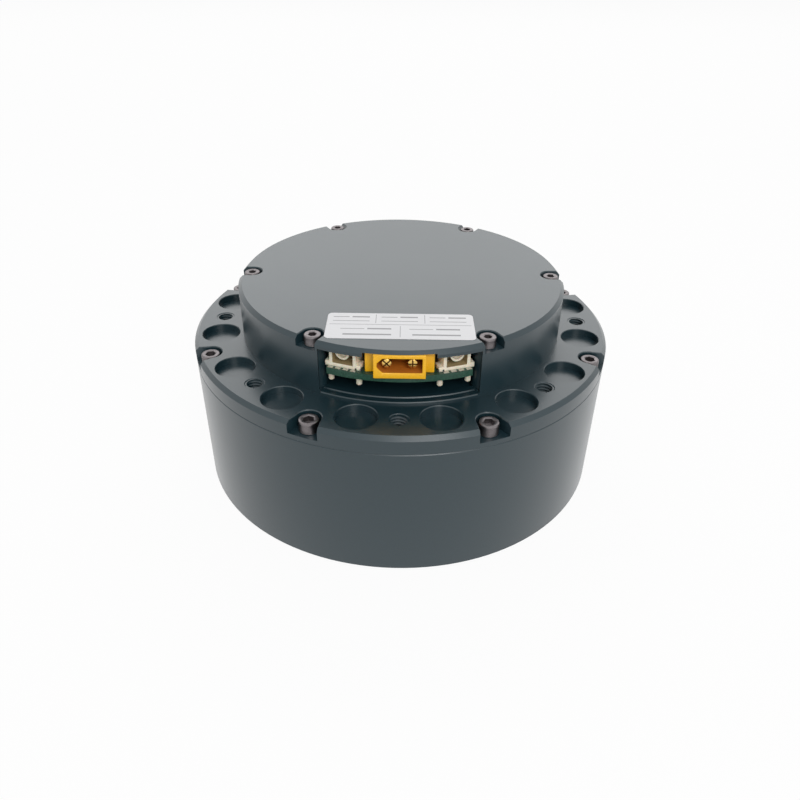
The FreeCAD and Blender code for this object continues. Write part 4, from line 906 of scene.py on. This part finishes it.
def signal_pegs(name):
    """The two pegs, at the origin, that locate a signal connector in the board."""
    sizes = connectors()
    across, along = sizes.signal_width / 2 + 0.2 * MM, 1.1 * MM
    radius, tip_radius, tip_length = 0.6 * MM, 0.42 * MM, 0.2 * MM
    end = BOARD_BOTTOM - sizes.peg_length
    bm = bmesh.new()
    for x in (-across, across):
        add_loft(bm, [circle(tip_radius, end, 32, x, along), circle(radius, end + tip_length, 32, x, along),
                      circle(radius, BOARD_TOP + 0.2 * MM, 32, x, along)])
    return piece_from(bm, name, finish("connector_cream"))


def add_signal_contacts(bm, place):
    """Row of square contacts with a pointed tip."""
    sizes = connectors()
    middle = BOARD_TOP + 1.3 * MM
    first = -sizes.contact_pitch * (sizes.contact_count - 1) / 2
    # Distance behind the connector's front, and half the thickness there, in millimetres.
    profile = [(1.5, 0.09), (1.75, 0.2), (4.2, 0.2)]
    for index in range(sizes.contact_count):
        x = first + sizes.contact_pitch * index
        rings = []
        for y, thick in profile:
            corners = [(-thick, -thick), (thick, -thick), (thick, thick), (-thick, thick)]
            rings.append([place @ Vector((x + a * MM, y * MM, middle + b * MM)) for a, b in corners])
        add_loft(bm, rings)


class ACTUATOR_OT_signal(bpy.types.Operator):
    """Make the two signal connectors and their contacts"""
    bl_idname = "actuator.signal"
    bl_label = "Make signal connectors"

    def execute(self, context):
        contacts = bmesh.new()
        made = []
        for side, word in ((-1, "left"), (1, "right")):
            place = signal_place(side)
            for piece in (signal_shell("signal_socket_" + word), signal_pegs("signal_pegs_" + word)):
                piece.data.transform(place)
                made.append(piece)
            add_signal_contacts(contacts, place)
        for piece in made:
            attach(piece, "case")
        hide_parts("signal_connectors")
        settle(piece_from(contacts, "signal_contact_rows", finish("contact_tin")),
               "case", "contact_tin", "signal_contacts")
        return {"FINISHED"}


def add_softbox(name, place, target, width, height, radiance):
    """Rectangular area lamp; its power follows from its size and the brightness of its face."""
    lamp = bpy.data.lights.new(name, "AREA")
    lamp.shape = "RECTANGLE"
    lamp.size, lamp.size_y = width, height
    lamp.energy = 4 * width * height * radiance
    item = bpy.data.objects.new(name, lamp)
    item.location = place
    item.rotation_euler = (Vector(target) - Vector(place)).to_track_quat("-Z", "Y").to_euler()
    item.visible_camera = False
    bpy.context.scene.collection.objects.link(item)


def plain_rays(tree):
    """1 for what is seen directly, in gloss or through glass, and 0 for light on matt surfaces."""
    path = add_node(tree, "ShaderNodeLightPath").outputs
    seen = add_node(tree, "ShaderNodeMath", {0: path["Is Camera Ray"], 1: path["Is Glossy Ray"]},
                    operation="MAXIMUM")
    return add_node(tree, "ShaderNodeMath", {0: seen.outputs[0], 1: path["Is Transmission Ray"]},
                    operation="MAXIMUM").outputs[0]


# The camera's place, its turn in degrees (pitch is below the horizon), and its lens in millimetres.
CAMERA_PLACE = Vector((0.453, -152.350, 111.954)) * MM
CAMERA_YAW, CAMERA_PITCH, CAMERA_ROLL = 0.145, 33.542, 0.755
CAMERA_LENS, CAMERA_SENSOR = 31.888, 36.0
# Share of the floor that is seen as plain white; the rest takes the shadow.
FLOOR_WHITE = 0.93


class ACTUATOR_OT_stage(bpy.types.Operator):
    """Make the pale floor, the lamps and the camera"""
    bl_idname = "actuator.stage"
    bl_label = "Make stage"

    def execute(self, context):
        scene = context.scene
        levels = studio()
        bm = bmesh.new()
        bmesh.ops.create_grid(bm, x_segments=1, y_segments=1, size=4.0)
        paper = bpy.data.materials.new("floor_paper")
        paper.use_nodes = True
        tree = paper.node_tree
        tree.nodes.clear()
        matt = add_node(tree, "ShaderNodeBsdfDiffuse", {"Color": linear("#f2f2f2")}).outputs[0]
        white = add_node(tree, "ShaderNodeEmission", {"Color": (1, 1, 1, 1), "Strength": 1.0}).outputs[0]
        share = add_node(tree, "ShaderNodeMath", {0: plain_rays(tree), 1: FLOOR_WHITE},
                         operation="MULTIPLY").outputs[0]
        top_side = add_node(tree, "ShaderNodeMixShader", {0: share, 1: matt, 2: white}).outputs[0]
        below = add_node(tree, "ShaderNodeNewGeometry").outputs["Backfacing"]
        clear = add_node(tree, "ShaderNodeBsdfTransparent").outputs[0]
        both = add_node(tree, "ShaderNodeMixShader", {0: below, 1: top_side, 2: clear}).outputs[0]
        add_node(tree, "ShaderNodeOutputMaterial", {"Surface": both})
        floor = piece_from(bm, "floor", paper)
        floor.location.z = CAD_BOX[0][2] - 0.02 * MM

        world = bpy.data.worlds.new("room")
        scene.world = world
        world.use_nodes = True
        tree = world.node_tree
        tree.nodes.clear()
        room = add_node(tree, "ShaderNodeBackground",
                        {"Color": (1, 1, 1, 1), "Strength": levels.ambient}).outputs[0]
        plain = add_node(tree, "ShaderNodeBackground", {"Color": (1, 1, 1, 1), "Strength": 1.0}).outputs[0]
        sky = add_node(tree, "ShaderNodeMixShader", {0: plain_rays(tree), 1: room, 2: plain}).outputs[0]
        add_node(tree, "ShaderNodeOutputWorld", {"Surface": sky})

        add_softbox("softbox_behind", (0, 1.0, 0.78), (0, 0, 0.04), 1.6, 0.7, levels.softbox)
        add_softbox("fill_front", (0.25, -0.9, 0.7), (0, 0, 0.04), 0.5, 0.5, levels.fill)

        lens = bpy.data.cameras.new("camera")
        lens.lens, lens.sensor_width = CAMERA_LENS, CAMERA_SENSOR
        lens.clip_start = 0.01
        camera = bpy.data.objects.new("camera", lens)
        scene.collection.objects.link(camera)
        camera.matrix_world = (Matrix.Translation(CAMERA_PLACE)
                               @ Matrix.Rotation(math.radians(CAMERA_YAW), 4, "Z")
                               @ Matrix.Rotation(math.radians(90 - CAMERA_PITCH), 4, "X")
                               @ Matrix.Rotation(math.radians(CAMERA_ROLL), 4, "Z"))
        scene.camera = camera
        scene.view_settings.view_transform = "Standard"
        return {"FINISHED"}


PIECE_OPERATORS = (ACTUATOR_OT_inner_parts, ACTUATOR_OT_case, ACTUATOR_OT_flange, ACTUATOR_OT_cover,
                   ACTUATOR_OT_output, ACTUATOR_OT_screws, ACTUATOR_OT_label, ACTUATOR_OT_board,
                   ACTUATOR_OT_power, ACTUATOR_OT_signal, ACTUATOR_OT_stage)


class ACTUATOR_PT_sidebar(bpy.types.Panel):
    """Lists the steps that dress the actuator, in their order"""
    bl_idname = "ACTUATOR_PT_sidebar"
    bl_label = "Robot joint actuator"
    bl_space_type = "VIEW_3D"
    bl_region_type = "UI"
    bl_category = "Actuator"

    def draw(self, context):
        for step in PIECE_OPERATORS:
            self.layout.operator(step.bl_idname)


SETTINGS = {
    "actuator_machined": MachinedSizes, "actuator_screws": ScrewSizes, "actuator_connectors": ConnectorSizes,
    "actuator_colours": FinishColours, "actuator_studio": StudioSettings}


def register():
    for kind in (*SETTINGS.values(), *PIECE_OPERATORS, ACTUATOR_PT_sidebar):
        bpy.utils.register_class(kind)
    for name, kind in SETTINGS.items():
        setattr(bpy.types.Scene, name, PointerProperty(type=kind))


def unregister():
    for name in SETTINGS:
        delattr(bpy.types.Scene, name)
    for kind in reversed((*SETTINGS.values(), *PIECE_OPERATORS, ACTUATOR_PT_sidebar)):
        bpy.utils.unregister_class(kind)


def main():
    register()
    bpy.ops.actuator.inner_parts()
    bpy.ops.actuator.case()
    bpy.ops.actuator.flange()
    bpy.ops.actuator.cover()
    bpy.ops.actuator.output()
    bpy.ops.actuator.screws()
    bpy.ops.actuator.label()
    bpy.ops.actuator.board()
    bpy.ops.actuator.power()
    bpy.ops.actuator.signal()
    bpy.ops.actuator.stage()


if __name__ == "__main__":
    main()
